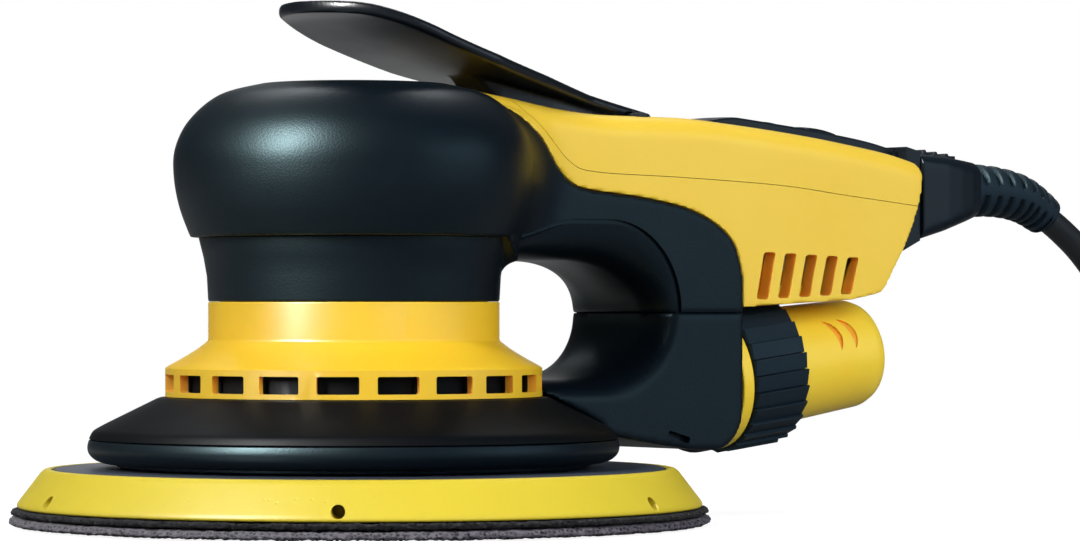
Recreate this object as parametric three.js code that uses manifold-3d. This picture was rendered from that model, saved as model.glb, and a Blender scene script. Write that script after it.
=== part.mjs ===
// Electric random-orbit sander: a 150 mm pad on an eccentric spindle, a brushless motor in the head, the
// electronics in the tail, a paddle lever on top, a dust outlet below and a mains lead with its plug.
//
// Millimetres. +Z is up, +X runs back along the tail. The origin is on the motor's axis, at the working
// face of the abrasive disc, which is the face that the tool stands on.
import * as THREE from "three";
import { mergeVertices } from "three/addons/utils/BufferGeometryUtils.js";
import Module from "manifold-3d";

const wasm = await Module();
wasm.setup();

// ---------------------------------------------------------------- driving sizes

const GAP = 0.3; // between pieces that touch
const ROUND = 32; // sides of a large turned piece that shows
const INNER = 24; // sides of a turned piece inside the tool
const SMALL = 16; // sides of a small turned piece

// pad, from the floor up
const PAD_RADIUS = 75;
const ECCENTRIC = 2.5; // from the motor's axis to the pad's axis: half of the orbit
const ABRASIVE_THICK = 1.8;
const HOOK_THICK = 1.3;
const FOAM_THICK = 8.2;
const PLATE_RADIUS = 65.7;
const PLATE_THICK = 2.5;
const PAD_RIM = 2.1; // width of the yellow rim round the plate
const DUST_HOLES = 8;
const DUST_HOLE_RADIUS = 5;
const DUST_CIRCLE = 46;
const AIR_HOLES = 5;
const AIR_HOLE_RADIUS = 1.45;
const SCREW_WELL = 9;
const SCREW_RADIUS = 4;
const SPINDLE_RADIUS = 7.4;

// motor housing and the motor in it
const CASE_RADIUS = 28.8;
const CASE_WALL = 1.8;
const NECK_RADIUS = CASE_RADIUS + 2.5;
const VENT_RADIUS = NECK_RADIUS + 9.2;
const VENT_HEIGHT = 5.9;
const VENT_WALL = 2.1;
const VENT_COUNT = 20;
const VENT_PHASE = 14.6; // angle of the first vent
const VENT_WIDTH = 8.9;
const VENT_OPENING = 3.7;
const NECK_BOTTOM = 39.2;
const NECK_TOP = 47.5;
const CASE_TOP = 77.2;
const STATOR_RADIUS = CASE_RADIUS - CASE_WALL - GAP;
const STATOR_BOTTOM = 49.7;
const STATOR_TOP = 72;
const STATOR_TEETH = 9;
const BORE_RADIUS = STATOR_RADIUS - 9.4;
const SHAFT_RADIUS = 5.9;
const SHAFT_TIP_RADIUS = 4;
const SHAFT_STEP = 75;
const CARRIER_RADIUS = 17;
const CARRIER_BORE = 14.2;
const CARRIER_BOTTOM = 14.2;
const CARRIER_TOP = 28.2;
const CARRIER_ROOF = 2;
const FAN_RADIUS = VENT_RADIUS - 8.5;
const FAN_BLADES = 11;
const LOWER_BEARING = { bore: SHAFT_RADIUS + GAP, radius: 14, bottom: 34.9, height: 8 };
const UPPER_BEARING = { bore: SHAFT_TIP_RADIUS + GAP, radius: 11, bottom: 80.8, height: 7 };

// shroud over the pad
const SHROUD_TOP = 27.1;
const SHROUD_SHOULDER = 1.2; // from the motor housing's side to the start of the slope
const SHROUD_TOP_RADIUS = VENT_RADIUS + SHROUD_SHOULDER;
const SHROUD_RADIUS = 56.8;
const SHROUD_SEAM = 18.2;
const SHROUD_WALL = 2.2;
const SHROUD_HOLE = 21;
const LIP_BOTTOM = 13;
const SEAL_RADIUS = SHROUD_RADIUS - 5.9;

// head grip and the sleeve below it
const HEAD_TOP = 94.3;
const HEAD_WALL = 3.8;
const SLEEVE_RADIUS = CASE_RADIUS + 4.5;
const HEAD_CAVITY = CASE_RADIUS + 2.8;
const LIP_RADIUS = SLEEVE_RADIUS + 1.8;
const LIP_HEIGHT = 61.3;

// tail
const TAIL_HALF = 18.5;
const TAIL_END = 148;
const TAIL_WALL = 2.4;
const TAIL_EDGE = 4.5; // rounding of the upper edges
const GRIP_PROUD = 0.4; // the soft grip stands out from the yellow by this
const FLARE_START = 20; // where the tail leaves the head
const FLARE_END = 52;
const FLARE = 8; // how much wider the tail is at the head, each side
const GRIP_SEAM = 45; // height of the seam between the grip and the dust duct
const GRIP_REAR = 93.2;
const SLOT_COUNT = 5;
const SLOT_START = 98.2; // the middle of the first slot's front edge
const SLOT_PITCH = 6.2;
const SLOT_WIDTH = 3.5;
const SLOT_LOW = 48;
const SLOT_HEIGHT = 10.7;
const SLOT_LEAN = 2.2; // its top lies behind its bottom by this

// hand gap under the tail
const GAP_INNER = { x: 56.7, z: 43.6, radius: 13.5 }; // at the middle of the tail
const GAP_RIM = { x: 55.2, z: 45.6, radius: 19.3 }; // at its sides
const GAP_FLARE_DEPTH = 10;
const GAP_RISE = 2.2; // its upper edge climbs by this from the head to its round end
const GAP_FRONT = 12; // the cut for the gap starts here, inside the head

// dust outlet
const OUTLET = { x: 95, z: 30, tilt: 7 };
const FLANGE_RADIUS = 16.6;
const FLANGE_LENGTH = 3.2;
const SPIGOT_RADIUS = 13.4;
const SPIGOT_BORE = 11.6;
const SPIGOT_LENGTH = 10.5;
const COLLAR_LENGTH = 15.5;
const COLLAR_RADIUS = 17.6;
const COLLAR_RIBS = 28;
const NOZZLE_RADIUS = 13.4;
const NOZZLE_END_RADIUS = 12.1;
const NOZZLE_WALL = 1.9;
const NOZZLE_END = 47;
const SEAL_THICK = 1.1;

// lever
const LEVER_HALF = 22;
const LEVER_TIP = -13;
const LEVER_REAR = 74.5;
const LEVER_THICK = 2.6;
const WEB_HALF = 10.5;
const PIN = { x: 68, z: 88, radius: 1.5, half: 14.2 };
const TROUGH_FLOOR = 84.5;
const TROUGH_FRONT = 27;
const TROUGH_REAR = 76.5;
const TROUGH_WALL = 2.6;
const TROUGH_BASE = 2.5; // thickness of its floor
const SPRING = { x: 46, radius: 3, wire: 0.8, turns: 4, height: 5.6 };
const MAGNET = { x: 58, radius: 2, height: 3 };

// control panel
const PANEL = { front: TAIL_END - 53, rear: TAIL_END - 2, half: 8, proud: 1, depth: 1.2 };
const WELL_MARGIN = 2.6; // from a long edge of the panel to its wells
const POWER = { x: PANEL.rear - 18, half: 4.6, proud: 1.1 };
const SPEED_UP = { x: PANEL.rear - 7, half: 3.2, proud: 0.4 };
const SPEED_DOWN = { x: PANEL.rear - 33, half: 3.2, proud: 0.4 };

// mains inlet, coupling and lead
const SOCKET = { half: 12, front: TAIL_END - 18, low: 58, high: 77.5 };
const COUPLING = { front: TAIL_END + 4.4, length: 20.1, half: 13 };
const LATCH = { x: COUPLING.front + 11.6, length: 11, half: 5, top: 82, pitch: 3.5, seat: 78, room: 0.9 };
const CORD_RADIUS = 3.25;
const COIL_RADIUS = 39; // at the middle of its turns
const COIL_LAYERS = 4;
const COIL = { x: 302, y: -(COIL_RADIUS + 1.5 * 2 * CORD_RADIUS) };
const PLUG = { length: 36, half: 17.6, thick: 13.7, pinRadius: 2, pinLength: 19, pinSpacing: 18.6 };

// ---------------------------------------------------------------- finishes

const finish = (color, roughness, metalness = 0) =>
  new THREE.MeshStandardMaterial({ color, roughness, metalness });
const SOFT_BLACK = finish(0x191d22, 0.55);
const HARD_BLACK = finish(0x14171b, 0.4);
const YELLOW = finish(0xe8c53a, 0.35);
const ORANGE_YELLOW = finish(0xf0b92a, 0.35);
const LEMON_FOAM = finish(0xeadb4e, 0.6);
const SLATE = finish(0x2b3444, 0.45);
const FELT = finish(0x18181b, 0.95);
const GRIT = finish(0x6b6570, 0.9);
const STEEL = finish(0xb9bdc2, 0.3, 1);
const ALUMINIUM = finish(0xc6c9cc, 0.4, 1);
const COPPER = finish(0xb4673a, 0.35, 1);
const BOARD_GREEN = finish(0x1f5f3a, 0.5);
const BRASS = finish(0xc9a24a, 0.3, 1);

// ---------------------------------------------------------------- making solids

// A closed geometry as a solid, with its faces turned outwards.
function solid(geometry) {
  const bare = geometry.clone();
  bare.deleteAttribute("normal");
  bare.deleteAttribute("uv");
  const merged = mergeVertices(bare, 1e-4);
  const index = merged.index.array;
  const build = (flip) => {
    const faces = [];
    for (let i = 0; i < index.length; i += 3) {
      const [a, b, c] = [index[i], index[i + 1], index[i + 2]];
      if (a !== b && b !== c && a !== c) faces.push(a, flip ? c : b, flip ? b : c);
    }
    const vertProperties = merged.attributes.position.array;
    return new wasm.Manifold(new wasm.Mesh({ numProp: 3, vertProperties, triVerts: new Uint32Array(faces) }));
  };
  const made = build(false);
  return made.volume() < 0 ? build(true) : made;
}

const join = (...solids) => solids.reduce((all, one) => all.add(one));
const cut = (from, ...tools) => tools.reduce((left, tool) => left.subtract(tool), from);

function piece(name, made, material) {
  const { vertProperties, triVerts } = made.getMesh();
  const geometry = new THREE.BufferGeometry();
  geometry.setAttribute("position", new THREE.BufferAttribute(vertProperties, 3));
  geometry.setIndex(new THREE.BufferAttribute(triVerts, 1));
  geometry.computeVertexNormals();
  const mesh = new THREE.Mesh(geometry, material);
  mesh.name = name;
  return mesh;
}

const vectors = (points) => points.map(([x, y]) => new THREE.Vector2(x, y));

// A turned piece about +Z. The profile is a list of [radius, height], closed here if it is a ring.
function turned(profile, segments = ROUND) {
  const points = vectors(profile);
  if (profile[0][0] > 0 || profile.at(-1)[0] > 0) points.push(points[0].clone());
  return new THREE.LatheGeometry(points, segments).rotateX(Math.PI / 2);
}

const ring = (inner, outer, low, high, segments = ROUND) =>
  solid(turned([[inner, low], [outer, low], [outer, high], [inner, high]], segments));

const rod = (radius, low, high, segments = SMALL) =>
  solid(turned([[0, low], [radius, low], [radius, high], [0, high]], segments));

const rodAt = (radius, low, high, x, y, segments = SMALL) =>
  solid(turned([[0, low], [radius, low], [radius, high], [0, high]], segments).translate(x, y, 0));

// A rod along +Y at a place in the XZ plane.
const crossRod = (radius, half, x, z, segments = SMALL) =>
  solid(
    turned([[0, -half], [radius, -half], [radius, half], [0, half]], segments)
      .rotateX(-Math.PI / 2)
      .translate(x, 0, z),
  );

function box(x0, x1, y0, y1, z0, z1) {
  const block = new THREE.BoxGeometry(x1 - x0, y1 - y0, z1 - z0);
  return solid(block.translate((x0 + x1) / 2, (y0 + y1) / 2, (z0 + z1) / 2));
}

// An outline in the XZ plane, given as [x, z] points, made as thick as twice half about Y = 0.
function sideCut(outline, half) {
  const shape = new THREE.Shape(vectors(outline));
  const extruded = new THREE.ExtrudeGeometry(shape, { depth: 2 * half, bevelEnabled: false });
  return solid(extruded.rotateX(Math.PI / 2).translate(0, half, 0));
}

// A closed skin over rings of points that all have the same count.
function loft(rings) {
  const count = rings[0].length;
  const positions = rings.flat().flatMap((p) => [p.x, p.y, p.z]);
  const faces = [];
  for (let r = 0; r + 1 < rings.length; r++)
    for (let i = 0; i < count; i++) {
      const a = r * count + i;
      const b = r * count + ((i + 1) % count);
      faces.push(a, b, b + count, a, b + count, a + count);
    }
  const last = (rings.length - 1) * count;
  for (let i = 1; i + 1 < count; i++) faces.push(0, i + 1, i, last, last + i, last + i + 1);
  const geometry = new THREE.BufferGeometry();
  geometry.setAttribute("position", new THREE.Float32BufferAttribute(positions, 3));
  geometry.setIndex(faces);
  return solid(geometry);
}

// One ring of a loft along X: a rectangle in the YZ plane with rounded corners.
function section(x, half, low, high, lowRadius, highRadius) {
  const steps = 3;
  const corners = [
    [half - lowRadius, low + lowRadius, lowRadius, -90],
    [half - highRadius, high - highRadius, highRadius, 0],
    [-half + highRadius, high - highRadius, highRadius, 90],
    [-half + lowRadius, low + lowRadius, lowRadius, 180],
  ];
  return corners.flatMap(([y, z, radius, start]) =>
    Array.from({ length: steps + 1 }, (_, i) => {
      const angle = THREE.MathUtils.degToRad(start + (90 * i) / steps);
      return new THREE.Vector3(x, y + radius * Math.cos(angle), z + radius * Math.sin(angle));
    }),
  );
}

const smooth = (points, steps) =>
  new THREE.SplineCurve(vectors(points)).getPoints(steps).map((p) => [p.x, p.y]);

// An arc in a plane, from one angle to another in degrees.
const arc = (x, z, radius, from, to, steps) =>
  Array.from({ length: steps + 1 }, (_, i) => {
    const angle = THREE.MathUtils.degToRad(from + ((to - from) * i) / steps);
    return [x + radius * Math.cos(angle), z + radius * Math.sin(angle)];
  });

// A polyline moved sideways: to its left for a positive distance.
function offset(points, distance) {
  return points.map(([x, z], i) => {
    const [x0, z0] = points[Math.max(i - 1, 0)];
    const [x1, z1] = points[Math.min(i + 1, points.length - 1)];
    const length = Math.hypot(x1 - x0, z1 - z0);
    return [x - (distance * (z1 - z0)) / length, z + (distance * (x1 - x0)) / length];
  });
}

// The value at x of a curve given by [x, value] points, straight between them.
function along(curve, x) {
  const after = curve.findIndex(([at]) => at >= x);
  if (after === 0) return curve[0][1];
  if (after < 0) return curve.at(-1)[1];
  const [[x0, v0], [x1, v1]] = [curve[after - 1], curve[after]];
  return v0 + ((v1 - v0) * (x - x0)) / (x1 - x0);
}

// Copies round +Z of whatever make gives for an angle in degrees.
const around = (count, make, start = 0) =>
  Array.from({ length: count }, (_, i) => make(start + (360 * i) / count));

const polar = (radius, degrees) => [
  radius * Math.cos(THREE.MathUtils.degToRad(degrees)),
  radius * Math.sin(THREE.MathUtils.degToRad(degrees)),
];

// ---------------------------------------------------------------- pad, about its own axis

const HOOK_BOTTOM = ABRASIVE_THICK + GAP;
const FOAM_BOTTOM = HOOK_BOTTOM + HOOK_THICK + GAP;
const FOAM_TOP = FOAM_BOTTOM + FOAM_THICK;
const PLATE_BOTTOM = FOAM_TOP - PLATE_THICK;
const HUB_RADIUS = 20;
const HUB_DEPTH = 1;
const FOAM_TOP_RADIUS = PLATE_RADIUS + GAP + PAD_RIM;
const FLANGE_BOTTOM = FOAM_TOP + GAP;
const SPINDLE_SHOULDER = 1.7;
const SPINDLE_TOP = 25.8;

const dustHoles = (low, high) =>
  around(DUST_HOLES, (angle) => rodAt(DUST_HOLE_RADIUS, low, high, ...polar(DUST_CIRCLE, angle), 10), 22.5);

const abrasiveDisc = () => rod(PAD_RADIUS, 0, ABRASIVE_THICK, ROUND);

const hookLayer = () =>
  cut(
    ring(SCREW_WELL, PAD_RADIUS - 0.4, HOOK_BOTTOM, HOOK_BOTTOM + HOOK_THICK),
    ...dustHoles(0, FOAM_BOTTOM),
  );

function padFoam() {
  const body = solid(
    turned([
      [SCREW_WELL, FOAM_BOTTOM],
      [PAD_RADIUS - 1.1, FOAM_BOTTOM],
      [PAD_RADIUS - 1.5, FOAM_BOTTOM + 0.9],
      [FOAM_TOP_RADIUS + 0.4, FOAM_TOP - 0.5],
      [FOAM_TOP_RADIUS - 0.3, FOAM_TOP],
      [PLATE_RADIUS + GAP, FOAM_TOP],
      [PLATE_RADIUS + GAP, PLATE_BOTTOM - GAP],
      [HUB_RADIUS + GAP, PLATE_BOTTOM - GAP],
      [HUB_RADIUS + GAP, PLATE_BOTTOM - HUB_DEPTH - GAP],
      [SCREW_WELL, PLATE_BOTTOM - HUB_DEPTH - GAP],
    ]),
  );
  const airHole = (angle) =>
    solid(
      turned([[0, -12], [AIR_HOLE_RADIUS, -12], [AIR_HOLE_RADIUS, 12], [0, 12]], 8)
        .rotateY(Math.PI / 2)
        .translate(PAD_RADIUS - 6, 0, FOAM_BOTTOM + 1.9)
        .rotateZ(THREE.MathUtils.degToRad(angle)),
    );
  return cut(body, ...dustHoles(0, FOAM_TOP + 1), ...around(AIR_HOLES, airHole, 231 - 72 * 3));
}

function padPlate() {
  const plate = ring(SCREW_RADIUS + GAP, PLATE_RADIUS, PLATE_BOTTOM, FOAM_TOP);
  const hub = ring(SCREW_RADIUS + GAP, HUB_RADIUS, PLATE_BOTTOM - HUB_DEPTH, FOAM_TOP - 0.5);
  return cut(join(plate, hub), ...dustHoles(PLATE_BOTTOM - 2, FOAM_TOP + 1));
}

const WASHER_TOP = PLATE_BOTTOM - HUB_DEPTH - GAP;
const WASHER_THICK = 0.9;
const SCREW_HEAD_TOP = WASHER_TOP - WASHER_THICK - GAP;

const padWasher = () => ring(SCREW_RADIUS + GAP, 7.8, WASHER_TOP - WASHER_THICK, WASHER_TOP, SMALL);

function padScrew() {
  const head = rod(6.8, FOAM_BOTTOM, SCREW_HEAD_TOP);
  const shank = rod(SCREW_RADIUS, SCREW_HEAD_TOP - 1, 22.5);
  const socket = rod(2.9, FOAM_BOTTOM - 1, FOAM_BOTTOM + 2.2, 6);
  return cut(join(head, shank), socket);
}

function padSpindle() {
  const neck = FLANGE_BOTTOM + SPINDLE_SHOULDER;
  return solid(
    turned(
      [
        [SCREW_RADIUS + GAP, FLANGE_BOTTOM],
        [11, FLANGE_BOTTOM],
        [11, neck],
        [9.2, neck],
        [9.2, CARRIER_BOTTOM + 0.7],
        [SPINDLE_RADIUS, CARRIER_BOTTOM + 0.7],
        [SPINDLE_RADIUS, SPINDLE_TOP],
        [0, SPINDLE_TOP],
        [0, SPINDLE_TOP - 2.5],
        [SCREW_RADIUS + GAP, SPINDLE_TOP - 2.5],
      ],
      SMALL,
    ),
  );
}

// ---------------------------------------------------------------- motor shaft and what turns with it

const SPINDLE_BEARING = {
  bore: SPINDLE_RADIUS + GAP,
  radius: CARRIER_BORE - GAP,
  bottom: CARRIER_BOTTOM + 1,
  height: CARRIER_TOP - CARRIER_ROOF - GAP - CARRIER_BOTTOM - 1,
};

// A sealed ball bearing as one ring: its lower shield lies a little inside the lower face.
function bearing({ bore, radius, bottom, height }) {
  const top = bottom + height;
  const land = (radius - bore) * 0.22;
  const recess = 0.5;
  return solid(
    turned(
      [
        [bore, bottom],
        [bore + land, bottom],
        [bore + land, bottom + recess],
        [radius - land, bottom + recess],
        [radius - land, bottom],
        [radius, bottom],
        [radius, top],
        [bore, top],
      ],
      SMALL,
    ),
  );
}

function shaftBalancer() {
  const carrier = solid(
    turned(
      [
        [0, CARRIER_TOP],
        [CARRIER_RADIUS, CARRIER_TOP],
        [CARRIER_RADIUS, CARRIER_BOTTOM],
        [CARRIER_BORE, CARRIER_BOTTOM],
        [CARRIER_BORE, CARRIER_TOP - CARRIER_ROOF],
        [0, CARRIER_TOP - CARRIER_ROOF],
      ],
      INNER,
    ).translate(0, -ECCENTRIC, 0),
  );
  const shaft = rod(SHAFT_RADIUS, CARRIER_TOP - 1, SHAFT_STEP);
  const tip = rod(SHAFT_TIP_RADIUS, SHAFT_STEP - 1, UPPER_BEARING.bottom + UPPER_BEARING.height);
  return join(carrier, shaft, tip);
}

// A half ring clamped round the carrier, heavy on the side away from the pad's axis.
function counterweight() {
  const low = CARRIER_BOTTOM + 0.6;
  const high = low + 6;
  const clamp = ring(10, CARRIER_RADIUS + 3, low, high, INNER).translate([0, -ECCENTRIC, 0]);
  const weight = rod(36, low, high, INNER);
  const heavySide = box(-40, 40, 6, 40, low - 1, high + 1);
  const carrierBore = rodAt(CARRIER_RADIUS + GAP, low - 1, high + 1, 0, -ECCENTRIC, INNER);
  return cut(join(clamp, weight.intersect(heavySide)), carrierBore);
}

function spindleCirclip() {
  const clip = ring(11.5, CARRIER_BORE - GAP, CARRIER_BOTTOM + 0.1, CARRIER_BOTTOM + 0.7, SMALL);
  return cut(clip, box(8, 16, -1.5, 1.5, 12, 17));
}

function coolingFan() {
  const low = CARRIER_TOP + GAP;
  const plate = ring(SHAFT_RADIUS + GAP, FAN_RADIUS, low, low + 1.2);
  const hub = ring(SHAFT_RADIUS + GAP, 9.5, low, LOWER_BEARING.bottom - 1.6, SMALL);
  const blade = (angle) =>
    solid(
      new THREE.BoxGeometry(12.5, 1.4, 5)
        .rotateZ(0.45)
        .translate(24.5, 0, low + 3.2)
        .rotateZ(THREE.MathUtils.degToRad(angle)),
    );
  return join(plate, hub, ...around(FAN_BLADES, blade));
}

const MAGNET_THICK = 1.8;
const ROTOR_RADIUS = BORE_RADIUS - 1 - MAGNET_THICK - GAP;
const rotorCore = () => ring(SHAFT_RADIUS + GAP, ROTOR_RADIUS, STATOR_BOTTOM, STATOR_TOP, SMALL);
const rotorMagnets = () =>
  ring(ROTOR_RADIUS + GAP, ROTOR_RADIUS + GAP + MAGNET_THICK, STATOR_BOTTOM + 0.5, STATOR_TOP - 0.5, SMALL);

// ---------------------------------------------------------------- motor housing and stator

const VENT_BOTTOM = SHROUD_TOP + GAP;
const VENT_TOP = VENT_BOTTOM + VENT_HEIGHT;
const SCREW_CIRCLE = VENT_RADIUS - 4.5;
const SHROUD_SCREW = 1.5;
const SHROUD_SCREWS = 3;
const SCREW_PHASE = 101.6; // angle of the first screw, so that one stands behind a bar of the vents
const SEAT = STATOR_BOTTOM - GAP;
const WEB_TOP = 43.8;
const WEB_BOTTOM = 41;

function motorHousing() {
  const pocket = LOWER_BEARING.radius + GAP;
  const bearingSeat = LOWER_BEARING.bottom - GAP;
  const shell = solid(
    turned([
      [VENT_RADIUS, VENT_BOTTOM],
      [VENT_RADIUS, VENT_TOP],
      [VENT_RADIUS - 0.6, VENT_TOP + 0.5],
      [VENT_RADIUS - 3.1, 35.1],
      [NECK_RADIUS + 2.3, 37.4],
      [NECK_RADIUS, NECK_BOTTOM],
      [NECK_RADIUS, NECK_TOP],
      [CASE_RADIUS, NECK_TOP],
      [CASE_RADIUS, CASE_TOP],
      [STATOR_RADIUS + GAP, CASE_TOP],
      [STATOR_RADIUS + GAP, SEAT],
      [STATOR_RADIUS - 2.2, SEAT],
      [STATOR_RADIUS - 2.2, WEB_TOP],
      [pocket, WEB_TOP],
      [pocket, bearingSeat],
      [pocket - 3, bearingSeat],
      [pocket - 3, bearingSeat - 1],
      [pocket + 3, bearingSeat - 1],
      [pocket + 3, WEB_BOTTOM],
      [CASE_RADIUS - 0.2, WEB_BOTTOM],
      [CASE_RADIUS - 0.2, 38.3],
      [NECK_RADIUS + 0.1, 35.6],
      [VENT_RADIUS - VENT_WALL, 32.6],
      [VENT_RADIUS - VENT_WALL, VENT_BOTTOM],
    ]),
  );
  const boss = (angle) => rodAt(3.2, VENT_BOTTOM, VENT_TOP, ...polar(SCREW_CIRCLE, angle), 10);
  const pilot = (angle) =>
    rodAt(SHROUD_SCREW + GAP, VENT_BOTTOM - 1, VENT_TOP - 0.8, ...polar(SCREW_CIRCLE, angle), 8);
  const window = (angle) =>
    solid(
      new THREE.BoxGeometry(2 * VENT_WALL, VENT_WIDTH, VENT_OPENING)
        .translate(VENT_RADIUS - 0.2, 0, VENT_BOTTOM + 2.75)
        .rotateZ(THREE.MathUtils.degToRad(angle)),
    );
  const bosses = join(...around(SHROUD_SCREWS, boss, SCREW_PHASE));
  const pilots = around(SHROUD_SCREWS, pilot, SCREW_PHASE);
  return cut(join(shell, bosses), ...pilots, ...around(VENT_COUNT, window, VENT_PHASE));
}

function shroudScrew(angle) {
  const [x, y] = polar(SCREW_CIRCLE, angle);
  const under = SHROUD_TOP - SHROUD_WALL - GAP;
  return join(
    rodAt(2.9, under - 2, under, x, y, 8),
    rodAt(SHROUD_SCREW, under - 0.5, VENT_TOP - 1.1, x, y, 8),
  );
}

function stator() {
  const yoke = ring(STATOR_RADIUS - 3, STATOR_RADIUS, STATOR_BOTTOM, STATOR_TOP, 27);
  const tips = ring(BORE_RADIUS, BORE_RADIUS + 1.2, STATOR_BOTTOM, STATOR_TOP, 27);
  const tooth = (angle) =>
    solid(
      new THREE.BoxGeometry(STATOR_RADIUS - BORE_RADIUS - 2, 3.4, STATOR_TOP - STATOR_BOTTOM)
        .translate((STATOR_RADIUS + BORE_RADIUS) / 2, 0, (STATOR_TOP + STATOR_BOTTOM) / 2)
        .rotateZ(THREE.MathUtils.degToRad(angle)),
    );
  return join(yoke, tips, ...around(STATOR_TEETH, tooth));
}

// The coils fill the stator's slots and stand out as a ring above and below it.
function windings() {
  const [inner, outer] = [BORE_RADIUS + 1.2 + GAP, STATOR_RADIUS - 3 - GAP];
  const low = ring(inner, outer, WEB_TOP + GAP, STATOR_BOTTOM - GAP, 27);
  const high = ring(inner, outer, STATOR_TOP + GAP, STATOR_TOP + 4.6, 27);
  const bar = (angle) =>
    solid(
      new THREE.BoxGeometry(outer - inner - 0.8, 6.2, STATOR_TOP + 1 - STATOR_BOTTOM + 1)
        .translate((inner + outer) / 2, 0, (STATOR_TOP + STATOR_BOTTOM) / 2)
        .rotateZ(THREE.MathUtils.degToRad(angle)),
    );
  return join(low, high, ...around(STATOR_TEETH, bar, 180 / STATOR_TEETH));
}

const BRACKET_TOP = HEAD_TOP - HEAD_WALL - GAP;

function bearingBracket() {
  const pocket = UPPER_BEARING.radius + GAP;
  const seat = UPPER_BEARING.bottom - GAP;
  return solid(
    turned(
      [
        [6.5, seat - 2],
        [STATOR_RADIUS - 2.4, seat - 2],
        [STATOR_RADIUS - 2.4, STATOR_TOP + GAP],
        [STATOR_RADIUS, STATOR_TOP + GAP],
        [STATOR_RADIUS, CASE_TOP + GAP],
        [CASE_RADIUS, CASE_TOP + GAP],
        [CASE_RADIUS, seat + 0.4],
        [14, seat + 2.2],
        [14, BRACKET_TOP],
        [pocket, BRACKET_TOP],
        [pocket, seat],
        [6.5, seat],
      ],
      INNER,
    ),
  );
}

// ---------------------------------------------------------------- shroud

function shroudCone() {
  return turned([
    [SHROUD_HOLE, SHROUD_TOP],
    [SHROUD_TOP_RADIUS, SHROUD_TOP],
    [SHROUD_RADIUS - 2, SHROUD_SEAM + 2.1],
    [SHROUD_RADIUS, SHROUD_SEAM],
    [SHROUD_RADIUS - 2, SHROUD_SEAM],
    [SHROUD_RADIUS - 3.8, SHROUD_SEAM + 0.8],
    [SHROUD_TOP_RADIUS - 1.6, SHROUD_TOP - SHROUD_WALL],
    [SHROUD_HOLE, SHROUD_TOP - SHROUD_WALL],
  ]);
}

function shroud() {
  const screwHole = (angle) => rodAt(SHROUD_SCREW + GAP, 20, 30, ...polar(SCREW_CIRCLE, angle), 8);
  const dustWindow = box(36, 62, -13.5, 13.5, 19.6, 24.6);
  return cut(solid(shroudCone()), dustWindow, ...around(SHROUD_SCREWS, screwHole, SCREW_PHASE));
}

function shroudLip() {
  const top = SHROUD_SEAM - GAP;
  return solid(
    turned([
      [SEAL_RADIUS + GAP, LIP_BOTTOM],
      [SHROUD_RADIUS - 3.2, LIP_BOTTOM],
      [SHROUD_RADIUS - 1.2, LIP_BOTTOM + 0.7],
      [SHROUD_RADIUS + 0.1, LIP_BOTTOM + 2],
      [SHROUD_RADIUS + 0.4, LIP_BOTTOM + 3.4],
      [SHROUD_RADIUS, top],
      [SEAL_RADIUS + GAP, top],
    ]),
  );
}

const brakeSeal = () => ring(SEAL_RADIUS - 2.4, SEAL_RADIUS, FOAM_TOP + GAP, SHROUD_SEAM - GAP);

// ---------------------------------------------------------------- head grip and sleeve

const HEAD_OUTLINE = smooth(
  [
    [LIP_RADIUS - 15.1, HEAD_TOP], [LIP_RADIUS - 6.2, 91.9], [LIP_RADIUS + 0.2, 86.6],
    [LIP_RADIUS + 3.3, 80.5], [LIP_RADIUS + 3.6, 74.5], [LIP_RADIUS + 2.4, 67.8], [LIP_RADIUS, LIP_HEIGHT],
  ],
  14,
);

const headForm = () => solid(turned([[0, HEAD_TOP], ...HEAD_OUTLINE, [0, LIP_HEIGHT]]));

// The room inside the head, over the motor.
const CAVITY_TOP = HEAD_TOP - HEAD_WALL;
const CAVITY_CHAMFER = 4;
const headCavity = () =>
  solid(
    turned([
      [0, CAVITY_TOP],
      [HEAD_CAVITY - CAVITY_CHAMFER, CAVITY_TOP],
      [HEAD_CAVITY, CAVITY_TOP - CAVITY_CHAMFER],
      [HEAD_CAVITY, LIP_HEIGHT - 20],
      [0, LIP_HEIGHT - 20],
    ]),
  );

const gripSleeve = () =>
  solid(
    turned([
      [CASE_RADIUS + GAP, NECK_TOP + GAP],
      [NECK_RADIUS, NECK_TOP + GAP],
      [NECK_RADIUS + 0.3, 53],
      [NECK_RADIUS + 1, 57],
      [SLEEVE_RADIUS, LIP_HEIGHT - GAP],
      [CASE_RADIUS + GAP, LIP_HEIGHT - GAP],
    ]),
  );

// ---------------------------------------------------------------- tail: its outer form and its seams

// Height of the tail's top along X.
const TAIL_TOP = [
  [20, 92.4], [30, 91.1], [42, 89.5], [66, 89], [92, 87.9], [104, 86.6],
  [116, 85.1], [128, 83.2], [140, 80.6], [150, 77],
];
const tailTop = (x) => along(TAIL_TOP, x);

// Half the tail's width along X: it widens in a curve towards the head.
function tailHalf(x) {
  const near = Math.max(0, (FLARE_END - x) / (FLARE_END - FLARE_START));
  return TAIL_HALF + FLARE * near ** 2;
}

// The tail's outer form from one height up, grown or shrunk all round.
function tailForm(low, grow, from = FLARE_START, to = TAIL_END + 2) {
  const inner = TAIL_TOP.map(([x]) => x).filter((x) => x > from && x < to);
  const stations = [from, 25, 35, ...inner, to].filter((x) => x >= from).sort((a, b) => a - b);
  const edge = TAIL_EDGE + grow;
  return loft(
    [...new Set(stations)].map((x) => section(x, tailHalf(x) + grow, low, tailTop(x) + grow, 3, edge)),
  );
}

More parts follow.
